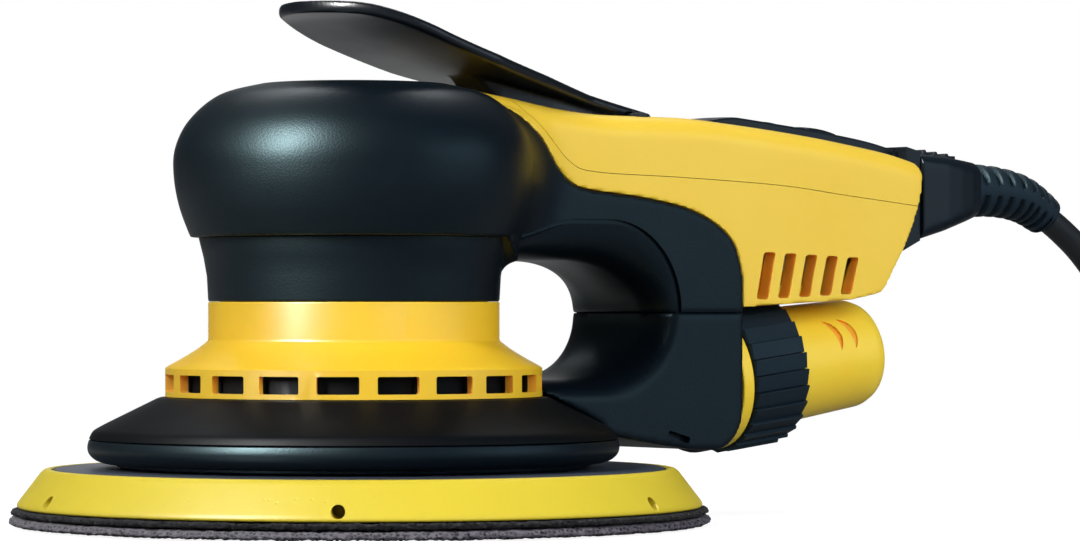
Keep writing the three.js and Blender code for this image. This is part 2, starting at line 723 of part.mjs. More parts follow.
// The line between the black grip and the yellow tail, from the top of the head to the seam over the duct.
const GRIP_LINE = [
  ...smooth(
    [
      [18, 93], [21.4, 91.3], [28.6, 87.8], [35.4, 83], [39.8, 77.7], [44.7, 73.6],
      [50, 72], [66, 70.3], [80, 67.4], [90, 61.5], [GRIP_REAR, 53],
    ],
    22,
  ),
  [GRIP_REAR, 44],
];

// The thin line between the yellow housing and its cover.
const COVER_LINE = smooth(
  [
    [16, 104.6], [26, 95], [37, 84.4], [44.5, 77.9], [52, 75.9],
    [76, 75.1], [104, 73.8], [124, 71.8], [152, 69],
  ],
  20,
);

// The rear and the bottom of the yellow tail.
const TAIL_REAR = [
  [TAIL_END - 0.5, 78.5], [TAIL_END - 0.6, 76], [TAIL_END - 2, 70], [TAIL_END - 5.4, 61.8],
  [TAIL_END - 10.1, 54.3], [TAIL_END - 12.4, 50.8], [TAIL_END - 13.8, 49.6], [TAIL_END - 17, 48.9],
];
const TAIL_BOTTOM = [[TAIL_END - 22, 48], [GRIP_REAR + GAP, 46.3]];

const ABOVE = 120; // a height over everything in the tail

// The yellow part of the tail in side view.
const yellowOutline = () => [
  ...offset(GRIP_LINE, GAP / 2).filter(([x, z]) => x > FLARE_START && z > 46.3),
  [GRIP_REAR + GAP / 2, 46.3],
  ...TAIL_BOTTOM.toReversed(),
  ...TAIL_REAR.toReversed(),
  [TAIL_END - 0.5, ABOVE],
  [FLARE_START, ABOVE],
];

const coverSide = (shift) => [...offset(COVER_LINE, shift), [160, ABOVE], [18, ABOVE]];
const housingSide = (shift) => [...offset(COVER_LINE, -shift), [160, 30], [18, 30]];

// The room inside the tail in side view.
const TAIL_ROOM = [
  [47, 82], [47, 79.5], [47.5, 77.6], [54, 75.2], [72, 73.6], [85, 69.8], [93, 64],
  [GRIP_REAR + TAIL_WALL, 55], [GRIP_REAR + TAIL_WALL, 51], [TAIL_END - 22, 51.8], [TAIL_END - 16.5, 53],
  [TAIL_END - 7.8, 64], [TAIL_END - 5, 71], [TAIL_END - 3.6, 76], [TAIL_END - 10, 78.4],
  [116, 82.3], [92, 85.2], [80, 85.8], [78.9, 82],
];
const tailRoom = () => sideCut(TAIL_ROOM, TAIL_HALF - TAIL_WALL);

// The yellow tail as one shell, before it is parted at the cover line. Over the head it follows its form.
function tailShell() {
  const outer = join(tailForm(45.6, 0), headForm()).intersect(sideCut(yellowOutline(), 40));
  const collarClear = solid(
    outletPlace(turned([[0, -3], [COLLAR_CLEAR, -3], [COLLAR_CLEAR, 20], [0, 20]], INNER)),
  );
  return cut(outer, tailRoom(), headCavity(), collarClear);
}

// ---------------------------------------------------------------- lever trough, panel and socket cuts

const TROUGH_HALF = WEB_HALF + 0.8;
const TROUGH_TOP = 99; // over the tail
const troughCut = () =>
  sideCut(
    [
      [TROUGH_FRONT, 93],
      [TROUGH_FRONT + 8, TROUGH_FLOOR],
      [TROUGH_REAR, TROUGH_FLOOR],
      [TROUGH_REAR, TROUGH_TOP],
      [TROUGH_FRONT, TROUGH_TOP],
    ],
    TROUGH_HALF,
  );

const PANEL_STATIONS = [PANEL.front, 104, 116, 128, 140, PANEL.rear];

function panelForm(grow) {
  const rings = PANEL_STATIONS.map((x, i) => {
    const outwards = i === 0 ? -grow : i === PANEL_STATIONS.length - 1 ? grow : 0;
    const low = tailTop(x) - PANEL.depth - grow;
    const high = tailTop(x) + (i === 0 ? 0.2 : PANEL.proud) + grow;
    return section(x + outwards, PANEL.half + grow, low, high, 0.3, 0.5);
  });
  return loft(rings);
}

const BUTTONS = [POWER, SPEED_UP, SPEED_DOWN];
const panelTop = (x) => tailTop(x) + PANEL.proud;
const wellHalf = PANEL.half - WELL_MARGIN;

// The way down through the panel and the cover for one key, with a margin all round the key.
const buttonWell = (button, margin) =>
  box(
    button.x - button.half - margin,
    button.x + button.half + margin,
    -wellHalf - margin + GAP,
    wellHalf + margin - GAP,
    70,
    95,
  );

const controlPanel = () => cut(panelForm(0), ...BUTTONS.map((button) => buttonWell(button, GAP)));

// A key that fills its well down through the panel and stands a little above it.
function panelButton(button) {
  const width = wellHalf - GAP;
  const top = panelTop(button.x) + button.proud;
  const bottom = tailTop(button.x) - PANEL.depth - 1.3;
  const front = section(button.x - button.half, width, bottom, top, 0.3, 0.8);
  const rear = section(button.x + button.half, width, bottom, top - 0.5, 0.3, 0.8);
  return loft([front, rear]);
}

function tailCover() {
  const outside = TROUGH_HALF + 2.8;
  const floor = TROUGH_FLOOR - TROUGH_BASE;
  const trough = box(TROUGH_FRONT + 3, TROUGH_REAR + TROUGH_WALL, -outside, outside, floor, TROUGH_TOP);
  const walls = trough.intersect(tailForm(45.6, 0)).intersect(sideCut(yellowOutline(), 40));
  const shell = join(tailShell(), walls).intersect(sideCut(coverSide(GAP / 2), 40));
  const pinHole = crossRod(PIN.radius + GAP, PIN.half + GAP, PIN.x, PIN.z);
  const wells = BUTTONS.map((button) => buttonWell(button, 2 * GAP));
  return cut(shell, troughCut(), pinHole, panelForm(GAP), headCavity(), ...wells, socketCut());
}

function socketCut() {
  const half = SOCKET.half + GAP;
  return box(SOCKET.front - 4, TAIL_END + 8, -half, half, SOCKET.low - GAP, SOCKET.high + GAP);
}

const SLOT_DEPTH = TAIL_HALF - TAIL_WALL - 0.6; // the slots reach in to this distance from the middle
const BOARD = { front: 99, rear: 126, half: 15.4, z: 63, thick: 1.6 };
const POST_RADIUS = 2.2;
const postPlaces = [BOARD.front + 3, BOARD.rear - 3].flatMap((x) => [[x, 12], [x, -12]]);

// One cooling slot through the side wall: a slanted slot that leans back towards its top.
function slot(i) {
  const [half, corner] = [SLOT_LEAN / 2, 0.6];
  const front = SLOT_START + i * SLOT_PITCH;
  const rear = front + SLOT_WIDTH;
  const low = SLOT_LOW + 0.3 * i;
  const high = SLOT_LOW + SLOT_HEIGHT - 0.25 * i;
  const outline = [
    [front - half, low], [rear - half - corner, low], [rear - half, low + corner],
    [rear + half, high - corner], [rear + half - corner, high],
    [front + half + corner, high], [front + half, high - corner],
  ];
  return cut(sideCut(outline, 30), box(90, 140, -SLOT_DEPTH, SLOT_DEPTH, 40, 70));
}

function tailHousing() {
  const floor = 50.5;
  const posts = postPlaces.map(([x, y]) => rodAt(POST_RADIUS, floor, BOARD.z - GAP, x, y, 10));
  const shell = tailShell().intersect(sideCut(housingSide(GAP / 2), 40));
  const slots = Array.from({ length: SLOT_COUNT }, (_, i) => slot(i));
  const leadWay = box(34, 56, -7, 7, 76.4, 79.6);
  return cut(join(cut(shell, ...slots), ...posts), socketCut(), troughCut(), leadWay);
}

// ---------------------------------------------------------------- black grip and dust duct

// A round-ended gap in side view, at a share of the way from the middle of the tail to its sides.
function gapRing(share, y) {
  const { lerp } = THREE.MathUtils;
  const x = lerp(GAP_INNER.x, GAP_RIM.x, share);
  const z = lerp(GAP_INNER.z, GAP_RIM.z, share);
  const radius = lerp(GAP_INNER.radius, GAP_RIM.radius, share);
  const start = [GAP_FRONT, z + radius - GAP_RISE];
  const points = [start, ...arc(x, z, radius, 90, -90, 14), [GAP_FRONT, z - radius]];
  return points.map(([px, pz]) => new THREE.Vector3(px, y, pz));
}

// The hand gap, narrow at the middle of the tail and wide at its sides.
function handGap() {
  const outside = 6; // it runs on past the tail's side
  const steps = [
    [TAIL_HALF + outside, 1 + outside / GAP_FLARE_DEPTH],
    [TAIL_HALF, 1],
    [TAIL_HALF - GAP_FLARE_DEPTH, 0],
  ];
  const near = steps.map(([y, share]) => gapRing(share, -y));
  const far = steps.toReversed().map(([y, share]) => gapRing(share, y));
  return loft([...near, ...far]);
}

function headGrip() {
  const blackSide = [
    ...offset(GRIP_LINE, -GAP / 2).filter(([, z]) => z > GRIP_SEAM + GAP),
    [GRIP_REAR - GAP / 2, GRIP_SEAM + GAP],
    [18, GRIP_SEAM + GAP],
  ];
  const arch = cut(tailForm(20, GRIP_PROUD).intersect(sideCut(blackSide, 40)), handGap());
  const sleeveClear = rod(SLEEVE_RADIUS + 1.2, 20, LIP_HEIGHT, ROUND);
  const archClear = join(rod(HEAD_CAVITY, 20, CAVITY_TOP), sleeveClear);
  const yellowSide = [
    ...offset(GRIP_LINE, -GAP / 2).filter(([x]) => x > FLARE_START - GAP),
    [GRIP_REAR, ABOVE],
    [FLARE_START - GAP, ABOVE],
  ];
  const head = cut(headForm(), headCavity(), sideCut(yellowSide, 40));
  const pillarRoom = sideCut([[78.5, 40], [90.6, 40], [90.6, 56], [86, 61.5], [80, 62]], TAIL_HALF - 3);
  const leadWay = box(28, 50, -7, 7, 76.4, 79.6);
  return cut(join(head, cut(arch, archClear)), pillarRoom, troughCut(), leadWay);
}

const ductOutline = () => [
  [38, 30],
  [38, 22.8],
  ...smooth([[42, 21.4], [52, 19], [64, 16.7], [78, 14.7]], 6),
  ...arc(84, 23.2, GRIP_REAR - GAP - 84, -80, 0, 5),
  [GRIP_REAR - GAP, GRIP_SEAM],
  [50, GRIP_SEAM],
];

// The duct's room: a flat way under the hand gap that widens into the rear pillar.
function ductRoom() {
  const wall = 2.5;
  const rear = [[80, 17.3], [87, 18.4], [90.6, 24], [90.6, 42.4], [79.2, 42.4]];
  const wide = [[67, 19.1], ...rear, ...arc(GAP_RIM.x, GAP_RIM.z, GAP_RIM.radius + wall + 1.5, -8, -60, 4)];
  const { x, z, radius } = GAP_INNER;
  const underGap = [...arc(x, z, radius + wall, -8, -90, 5), [36, z - radius - wall]];
  const middle = [[36, 21], [52, 21.2], [67, 19.1], ...rear, ...underGap];
  return join(sideCut(wide, TAIL_HALF - wall), sideCut(middle, TAIL_HALF - GAP_FLARE_DEPTH));
}

const COLLAR_START = FLANGE_LENGTH + GAP;
const COLLAR_CLEAR = COLLAR_RADIUS + 2 * GAP;

// Turns a piece made along +Z onto the outlet's axis.
function outletPlace(geometry) {
  return geometry
    .rotateY(Math.PI / 2)
    .rotateY(THREE.MathUtils.degToRad(-OUTLET.tilt))
    .translate(OUTLET.x, 0, OUTLET.z);
}

function dustDuct() {
  const bar = sideCut(ductOutline(), TAIL_HALF + GRIP_PROUD);
  const shroudClear = solid(
    turned([
      [0, 10], [SHROUD_RADIUS + 1.2, 10], [SHROUD_RADIUS + 1, SHROUD_SEAM - 1.2],
      [SHROUD_RADIUS + 0.6, SHROUD_SEAM + 0.4], [SHROUD_RADIUS - 1.6, SHROUD_SEAM + 2.7],
      [SHROUD_TOP_RADIUS + 0.7, SHROUD_TOP + 0.5], [VENT_RADIUS + 0.8, SHROUD_TOP + 0.9],
      [VENT_RADIUS + 0.8, 34], [NECK_RADIUS + 1.3, NECK_BOTTOM - 0.2], [NECK_RADIUS + 1.3, 50], [0, 50],
    ]),
  );
  const hole = turned([[0, -8], [SPIGOT_BORE, -8], [SPIGOT_BORE, 6], [0, 6]], INNER);
  const outletHole = solid(outletPlace(hole));
  const tube = turned([[SPIGOT_BORE, -9], [FLANGE_RADIUS, -9], [FLANGE_RADIUS, 0], [SPIGOT_BORE, 0]], INNER);
  const neck = solid(outletPlace(tube));
  const neckUnderSeam = neck.intersect(box(84, 100, -20, 20, 0, GRIP_SEAM));
  const notches = [-1, 1].map((side) =>
    box(71.5, 77.6, side * (TAIL_HALF + 0.6) - 1, side * (TAIL_HALF + 0.6) + 1, 16.9, 18.7));
  return cut(join(cut(bar, handGap(), shroudClear, ductRoom()), neckUnderSeam), outletHole, ...notches);
}

// ---------------------------------------------------------------- dust outlet, along its own axis

const NOZZLE_START = SPIGOT_LENGTH + GAP + SEAL_THICK + GAP;
const NOZZLE_FLANGE = 1.8;

function outletFlange() {
  return solid(
    turned(
      [
        [SPIGOT_BORE, GAP],
        [FLANGE_RADIUS, GAP],
        [FLANGE_RADIUS, FLANGE_LENGTH],
        [SPIGOT_RADIUS, FLANGE_LENGTH],
        [SPIGOT_RADIUS, SPIGOT_LENGTH],
        [SPIGOT_BORE, SPIGOT_LENGTH],
      ],
      INNER,
    ),
  );
}

const outletSeal = () =>
  ring(SPIGOT_BORE + 0.2, SPIGOT_RADIUS, SPIGOT_LENGTH + GAP, SPIGOT_LENGTH + GAP + SEAL_THICK, INNER);

// The collar's outline is a saw-tooth: each rib rises slowly and drops at once.
function outletCollar() {
  const outline = new THREE.Shape(
    vectors(
      Array.from({ length: COLLAR_RIBS }, (_, i) => [
        polar(COLLAR_RADIUS - 0.9, (360 * i) / COLLAR_RIBS),
        polar(COLLAR_RADIUS, (360 * (i + 0.9)) / COLLAR_RIBS),
      ]).flat(),
    ),
  );
  const extruded = new THREE.ExtrudeGeometry(outline, { depth: COLLAR_LENGTH, bevelEnabled: false });
  const bore = rod(SPIGOT_RADIUS + GAP, 0, COLLAR_START + COLLAR_LENGTH + 1, INNER);
  const pocket = rod(NOZZLE_RADIUS + 0.9 + GAP, SPIGOT_LENGTH, NOZZLE_START + NOZZLE_FLANGE + GAP, INNER);
  const mouth = rod(NOZZLE_RADIUS + GAP, NOZZLE_START, COLLAR_START + COLLAR_LENGTH + 1, INNER);
  return cut(solid(extruded.translate(0, 0, COLLAR_START)), bore, pocket, mouth);
}

function outletNozzle() {
  const slide = COLLAR_START + COLLAR_LENGTH;
  return solid(
    turned(
      [
        [SPIGOT_BORE, NOZZLE_START],
        [NOZZLE_RADIUS + 0.9, NOZZLE_START],
        [NOZZLE_RADIUS + 0.9, NOZZLE_START + NOZZLE_FLANGE],
        [NOZZLE_RADIUS, NOZZLE_START + NOZZLE_FLANGE],
        [NOZZLE_RADIUS, slide + 2],
        [NOZZLE_END_RADIUS + 0.5, NOZZLE_END - 2.5],
        [NOZZLE_END_RADIUS - 0.6, NOZZLE_END],
        [NOZZLE_END_RADIUS - NOZZLE_WALL, NOZZLE_END],
      ],
      INNER,
    ),
  );
}

// ---------------------------------------------------------------- lever and what it presses

// The lever's upper face along X: flat at its tip, then falling to the hinge.
const LEVER_TOP = [
  [LEVER_TIP, 111.6], [-8, 110.9], [-2, 109.2], [6, 106.4], [14, 103.7],
  [24, 100.7], [34, 98.2], [48, 95], [62, 92], [LEVER_REAR, 89.6],
];

// Half the lever's width along X: a round tip, straight sides, and a narrow rear end.
function leverHalf(x) {
  const centre = LEVER_TIP + LEVER_HALF;
  if (x < centre) return Math.sqrt(Math.max(LEVER_HALF ** 2 - (centre - x) ** 2, 0.6));
  return along([[centre, LEVER_HALF], [24, 21], [40, 16.8], [56, 11], [LEVER_REAR, 9]], x);
}

const WEB_BOTTOM_LINE = [[29, 95.5], [36, 89.6], [50, 87.1], [68, 85.6], [LEVER_REAR, 86.6]];

function lever() {
  const behind = LEVER_TOP.map(([x]) => x).filter((x) => x > 8);
  const stations = [LEVER_TIP, -12.5, -11, -8, -4, 1, 6, ...behind, 40, 56];
  const plate = loft(
    [...new Set(stations)]
      .sort((a, b) => a - b)
      .map((x) => section(x, leverHalf(x), along(LEVER_TOP, x) - LEVER_THICK, along(LEVER_TOP, x), 0.3, 0.3)),
  );
  const web = loft(
    WEB_BOTTOM_LINE.map(([x, low]) =>
      section(x, Math.min(WEB_HALF, leverHalf(x)), low, along(LEVER_TOP, x) - 1, 0.3, 0.3),
    ),
  );
  const springPocket = rodAt(SPRING.radius + 1, 80, TROUGH_FLOOR + GAP + SPRING.height + GAP, SPRING.x, 0, 16);
  const magnetPocket = rodAt(MAGNET.radius + GAP, 80, 86.6 + MAGNET.height + GAP, MAGNET.x, 0, 12);
  const pinHole = crossRod(PIN.radius + GAP, 20, PIN.x, PIN.z);
  return cut(join(plate, web), springPocket, magnetPocket, pinHole);
}

const leverPin = () => crossRod(PIN.radius, PIN.half, PIN.x, PIN.z, 12);
const leverMagnet = () => rodAt(MAGNET.radius, 86.6, 86.6 + MAGNET.height, MAGNET.x, 0, 12);

function leverSpring() {
  const low = TROUGH_FLOOR + GAP + SPRING.wire / 2;
  const rise = SPRING.height - SPRING.wire;
  const steps = SPRING.turns * 8;
  const points = Array.from({ length: steps + 1 }, (_, i) => {
    const [x, y] = polar(SPRING.radius - SPRING.wire / 2, (360 * SPRING.turns * i) / steps);
    return new THREE.Vector3(SPRING.x + x, y, low + (rise * i) / steps);
  });
  const wire = new THREE.Shape(vectors(arc(0, 0, SPRING.wire / 2, 0, 300, 5)));
  const path = new THREE.CatmullRomCurve3(points);
  return solid(new THREE.ExtrudeGeometry(wire, { steps, extrudePath: path, bevelEnabled: false }));
}

const leverSensor = () => box(52, 63, -5, 5, 80.3, TROUGH_FLOOR - TROUGH_BASE - GAP);

// ---------------------------------------------------------------- electronics

const circuitBoard = () =>
  box(BOARD.front, BOARD.rear, -BOARD.half, BOARD.half, BOARD.z, BOARD.z + BOARD.thick);

const CAPACITOR = { radius: 6, top: 79.4 };
const capacitor = (x) => rodAt(CAPACITOR.radius, BOARD.z + BOARD.thick + GAP, CAPACITOR.top, x, 0);

function heatSink() {
  const top = BOARD.z - GAP;
  const [front, rear] = [BOARD.front + 6, BOARD.rear - 6];
  const fins = Array.from({ length: 6 }, (_, i) => {
    const y = -8.5 + i * 3.4;
    return box(front, rear, y - 0.6, y + 0.6, top - 8, top - 1);
  });
  return join(box(front, rear, -9.5, 9.5, top - 2, top), ...fins);
}

// ---------------------------------------------------------------- mains inlet, coupling, relief and lead

function inletSocket() {
  const body = box(SOCKET.front, TAIL_END - 2, -SOCKET.half, SOCKET.half, SOCKET.low, SOCKET.high);
  const side = [[-4.2, 58], [4.1, 61.8], [4.1, 81], [2.5, 81.6], [0.2, 77.9], [-1.4, 71]];
  const flange = sideCut(side.map(([x, z]) => [TAIL_END + x, z]), SOCKET.half);
  const contacts = [-5, 5].map((y) => box(SOCKET.front + 6, TAIL_END + 6, y - 1.2, y + 1.2, 67, 72));
  const kept = body.intersect(box(SOCKET.front - 10, TAIL_END - 3, -20, 20, 40, 90));
  return cut(join(kept, flange), ...contacts);
}

function cableCoupling() {
  const front = section(COUPLING.front, COUPLING.half, 62, 81.9, 2.5, 2.5);
  const middle = section(COUPLING.front + 8, COUPLING.half, 64, 81.6, 3, 3);
  const rear = section(COUPLING.front + COUPLING.length, COUPLING.half - 2, 67.3, 80.5, 4, 4);
  const [along, across] = [LATCH.length / 2 + GAP, LATCH.half + GAP];
  const latchSeat = box(LATCH.x - along, LATCH.x + along, -across, across, LATCH.seat, 90);
  return cut(loft([front, middle, rear]), latchSeat);
}

function couplingLatch() {
  const [from, to] = [LATCH.x - LATCH.length / 2, LATCH.x + LATCH.length / 2];
  const low = LATCH.seat + LATCH.room;
  const ridge = (x, high) => box(x - 0.6, x + 0.6, -LATCH.half + 0.8, LATCH.half - 0.8, LATCH.top - 0.5, high);
  const pad = box(from, to, -LATCH.half, LATCH.half, low, LATCH.top);
  const ridges = [-1, 0, 1].map((i) => ridge(LATCH.x + i * LATCH.pitch, LATCH.top + 1 - 0.4 * i));
  return join(pad, ...ridges);
}

// The lead's route, from the strain relief down to the floor and on to the coil.
const RELIEF_PATH = [
  [COUPLING.front + COUPLING.length + GAP, 74.1], [180, 74.1], [187, 73.8],
  [193.5, 72.7], [198, 71], [202, 68.8],
];
const CORD_PATH = [
  [202.9, 68.2], [209, 64.4], [216, 59], [225, 49.6], [234, 38.6], [242, 28],
  [250, 18], [258.5, 9.6], [267, 4.9], [276, CORD_RADIUS + 0.15],
];

// Rings across a path in the XZ plane, as large as radius gives for each share of its length.
function tubeRings(path, count, radius, sides) {
  const curve = new THREE.CatmullRomCurve3(path.map(([x, z]) => new THREE.Vector3(x, 0, z)));
  return Array.from({ length: count + 1 }, (_, i) => {
    const share = i / count;
    const at = curve.getPointAt(share);
    const along = curve.getTangentAt(share);
    const up = new THREE.Vector3(-along.z, 0, along.x);
    return Array.from({ length: sides }, (_, k) => {
      const [across, over] = polar(radius(share, i), (360 * (k + 0.5)) / sides);
      return at.clone().addScaledVector(up, over).add(new THREE.Vector3(0, across, 0));
    });
  });
}

function strainRelief() {
  const ribs = 8;
  const outer = (share) => 6.8 - 2 * share;
  const radius = (share, i) => (i % 4 < 2 ? outer(share) : outer(share) - 1.5);
  return loft(tubeRings(RELIEF_PATH, ribs * 4 + 1, radius, 12));
}

function cord() {
  const points = CORD_PATH.map(([x, z]) => new THREE.Vector3(x, 0, z));
  const path = new THREE.CatmullRomCurve3(points);
  const round = new THREE.Shape(vectors(arc(0, 0, CORD_RADIUS, 0, 324, 9)));
  return solid(new THREE.ExtrudeGeometry(round, { steps: 8, extrudePath: path, bevelEnabled: false }));
}

const COIL_WIDTH = 2 * CORD_RADIUS * COIL_LAYERS;
function cordCoil() {
  const [inside, outside] = [COIL_RADIUS - COIL_WIDTH / 2, COIL_RADIUS + COIL_WIDTH / 2];
  return ring(inside, outside, 0.1, COIL_WIDTH).translate([COIL.x, COIL.y, 0]);
}

// The plug lies on the coil, its pins pointing back towards the tool.
const PLUG_REAR = COIL.x + 20;
const PLUG_FRONT = PLUG_REAR - PLUG.length;
const PLUG_Y = COIL.y - COIL_RADIUS;
const PLUG_Z = COIL_WIDTH + GAP + PLUG.thick / 2;

function plugBody() {
  const thick = PLUG.thick / 2;
  const { half, length } = PLUG;
  const rings = [[0, 4, 4.4], [6, 4.8, 4.8], [14, 11, thick], [22, half, thick], [length, half, thick]];
  const made = loft(rings.map(([x, wide, high]) => section(x, wide, -high, high, 3.4, 3.4)));
  return made.rotate([0, 0, 180]).translate([PLUG_REAR, PLUG_Y, PLUG_Z]);
}

function plugPin(side) {
  const { pinRadius, pinLength, pinSpacing } = PLUG;
  const profile = [[0, GAP], [pinRadius, GAP], [pinRadius, pinLength - 1], [1.2, pinLength], [0, pinLength]];
  const pin = turned(profile, 12).rotateY(-Math.PI / 2);
  return solid(pin.translate(PLUG_FRONT, PLUG_Y + (side * pinSpacing) / 2, PLUG_Z));
}

// ---------------------------------------------------------------- assembly

const group = new THREE.Group();
group.name = "orbital_sander";
const add = (parent, name, made, material) => parent.add(piece(name, made, material));

const tool = new THREE.Group();
group.add(tool);
add(tool, "head_grip", headGrip(), SOFT_BLACK);
add(tool, "grip_sleeve", gripSleeve(), SOFT_BLACK);
add(tool, "dust_duct", dustDuct(), SOFT_BLACK);
add(tool, "tail_housing", tailHousing(), YELLOW);
add(tool, "tail_cover", tailCover(), YELLOW);
add(tool, "motor_housing", motorHousing(), ORANGE_YELLOW);
add(tool, "shroud", shroud(), HARD_BLACK);
add(tool, "shroud_lip", shroudLip(), SOFT_BLACK);
add(tool, "brake_seal", brakeSeal(), SOFT_BLACK);
add(tool, "stator", stator(), STEEL);
add(tool, "windings", windings(), COPPER);
add(tool, "bearing_bracket", bearingBracket(), HARD_BLACK);
add(tool, "lower_bearing", bearing(LOWER_BEARING), STEEL);
add(tool, "upper_bearing", bearing(UPPER_BEARING), STEEL);
around(SHROUD_SCREWS, shroudScrew, SCREW_PHASE).forEach((made, i) =>
  add(tool, `shroud_screw_${i + 1}`, made, STEEL),
);
add(tool, "circuit_board", circuitBoard(), BOARD_GREEN);
add(tool, "capacitor_1", capacitor(BOARD.front + 6.5), HARD_BLACK);
add(tool, "capacitor_2", capacitor(BOARD.front + 20), HARD_BLACK);
add(tool, "heat_sink", heatSink(), ALUMINIUM);
add(tool, "lever_sensor", leverSensor(), BOARD_GREEN);
add(tool, "lever_pin", leverPin(), STEEL);
add(tool, "lever_spring", leverSpring(), STEEL);
add(tool, "control_panel", controlPanel(), HARD_BLACK);
add(tool, "inlet_socket", inletSocket(), HARD_BLACK);
add(tool, "cable_coupling", cableCoupling(), HARD_BLACK);
add(tool, "strain_relief", strainRelief(), SOFT_BLACK);
add(tool, "cord", cord(), SOFT_BLACK);
add(tool, "cord_coil", cordCoil(), SOFT_BLACK);
add(tool, "plug_body", plugBody(), SOFT_BLACK);
add(tool, "plug_pin_1", plugPin(1), BRASS);
add(tool, "plug_pin_2", plugPin(-1), BRASS);

const leverGroup = new THREE.Group();
group.add(leverGroup);
add(leverGroup, "lever", lever(), HARD_BLACK);
add(leverGroup, "lever_magnet", leverMagnet(), STEEL);

add(group, "power_button", panelButton(POWER), SOFT_BLACK);
add(group, "speed_up_button", panelButton(SPEED_UP), SOFT_BLACK);
add(group, "speed_down_button", panelButton(SPEED_DOWN), SOFT_BLACK);
add(group, "coupling_latch", couplingLatch(), HARD_BLACK);

const rotor = new THREE.Group();
group.add(rotor);
add(rotor, "shaft_balancer", shaftBalancer(), STEEL);
add(rotor, "counterweight", counterweight(), STEEL);
add(rotor, "cooling_fan", coolingFan(), HARD_BLACK);
add(rotor, "rotor_core", rotorCore(), STEEL);
add(rotor, "rotor_magnets", rotorMagnets(), STEEL);

const carrier = new THREE.Group(); // on the pad's axis, turning with the shaft
carrier.position.set(0, -ECCENTRIC, 0);
rotor.add(carrier);
add(carrier, "spindle_circlip", spindleCirclip(), STEEL);
add(carrier, "spindle_bearing", bearing(SPINDLE_BEARING), STEEL);

const pad = new THREE.Group();
carrier.add(pad);
add(pad, "abrasive_disc", abrasiveDisc(), GRIT);
add(pad, "hook_layer", hookLayer(), FELT);
add(pad, "pad_foam", padFoam(), LEMON_FOAM);
add(pad, "pad_plate", padPlate(), SLATE);
add(pad, "pad_washer", padWasher(), STEEL);
add(pad, "pad_screw", padScrew(), STEEL);
add(pad, "pad_spindle", padSpindle(), STEEL);

const outlet = new THREE.Group();
outlet.position.set(OUTLET.x, 0, OUTLET.z);
outlet.rotation.y = THREE.MathUtils.degToRad(90 - OUTLET.tilt);
group.add(outlet);
add(outlet, "outlet_flange", outletFlange(), ORANGE_YELLOW);
add(outlet, "outlet_seal", outletSeal(), SOFT_BLACK);
add(outlet, "outlet_collar", outletCollar(), SOFT_BLACK);
add(outlet, "outlet_nozzle", outletNozzle(), ORANGE_YELLOW);

export default group;
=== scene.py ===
"""The looks of an electric random-orbit sander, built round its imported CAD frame.

Blender 4.5. The frame is in metres; the shapes here are made in millimetres and scaled once, when they
become pieces. +Z is up, +X runs back along the tail, and the origin is on the motor's axis at the floor.
"""

import logging
import math
import random
from dataclasses import dataclass, field
from enum import Enum
from typing import Callable, Iterable, Sequence

import bmesh
import bpy
from bmesh.types import BMesh
from mathutils import Matrix, Vector


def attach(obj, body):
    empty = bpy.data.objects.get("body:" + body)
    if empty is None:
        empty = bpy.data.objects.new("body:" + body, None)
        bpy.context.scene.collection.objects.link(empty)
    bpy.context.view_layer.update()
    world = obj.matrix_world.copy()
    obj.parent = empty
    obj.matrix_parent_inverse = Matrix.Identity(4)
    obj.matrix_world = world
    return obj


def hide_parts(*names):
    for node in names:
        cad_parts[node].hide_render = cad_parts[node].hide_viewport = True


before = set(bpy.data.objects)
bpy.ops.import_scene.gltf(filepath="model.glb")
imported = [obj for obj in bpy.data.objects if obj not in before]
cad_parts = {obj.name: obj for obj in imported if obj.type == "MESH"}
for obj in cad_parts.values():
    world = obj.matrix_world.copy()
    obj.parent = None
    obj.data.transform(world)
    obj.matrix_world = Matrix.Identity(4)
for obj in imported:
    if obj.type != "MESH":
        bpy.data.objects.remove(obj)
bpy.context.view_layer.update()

log = logging.getLogger("sander")

MM = 0.001
GAP = 0.3  # between pieces that touch
WAVE_UNIT = 6.28  # makes a wave texture's bands twice as coarse as real, so that they show
WHITE = (1.0, 1.0, 1.0, 1.0)

Point = tuple[float, float]
Place = tuple[float, float, float]
Four = tuple[float, float, float, float]
Outline = list[Point]
Socket = bpy.types.NodeSocket


# -------- small mathematics


def linear(code: str) -> Four:
    """Turns an sRGB hex colour into linear light.

    Args:
        code: Six hex digits after a hash.

    Returns:
        Red, green, blue and an alpha of one.
    """
    parts = [int(code[i : i + 2], 16) / 255 for i in (1, 3, 5)]
    red, green, blue = (c / 12.92 if c <= 0.04045 else ((c + 0.055) / 1.055) ** 2.4 for c in parts)
    return red, green, blue, 1.0


def smooth_line(points: Sequence[Sequence[float]], steps: int) -> list[tuple[float, ...]]:
    """Runs a uniform Catmull-Rom curve through points.

    Args:
        points: Points in two or three dimensions.
        steps: How many stretches the curve is cut into.

    Returns:
        The curve's points, one more than steps.
    """
    last = len(points) - 1
    made = []
    for i in range(steps + 1):
        place = i / steps * last
        k = min(int(place), last - 1)
        t = place - k
        p0 = points[k - 1] if k > 0 else points[k]
        p1, p2 = points[k], points[k + 1]
        p3 = points[k + 2] if k + 2 <= last else points[last]
        made.append(
            tuple(
                b + t / 2 * (c - a + t * (2 * a - 5 * b + 4 * c - d + t * (3 * b - a - 3 * c + d)))
                for a, b, c, d in zip(p0, p1, p2, p3)
            )
        )
    return made


def arc(x: float, z: float, radius: float, start: float, end: float, steps: int) -> Outline:
    """Points on an arc, from one angle to another in degrees."""
    angles = (math.radians(start + (end - start) * i / steps) for i in range(steps + 1))
    return [(x + radius * math.cos(a), z + radius * math.sin(a)) for a in angles]


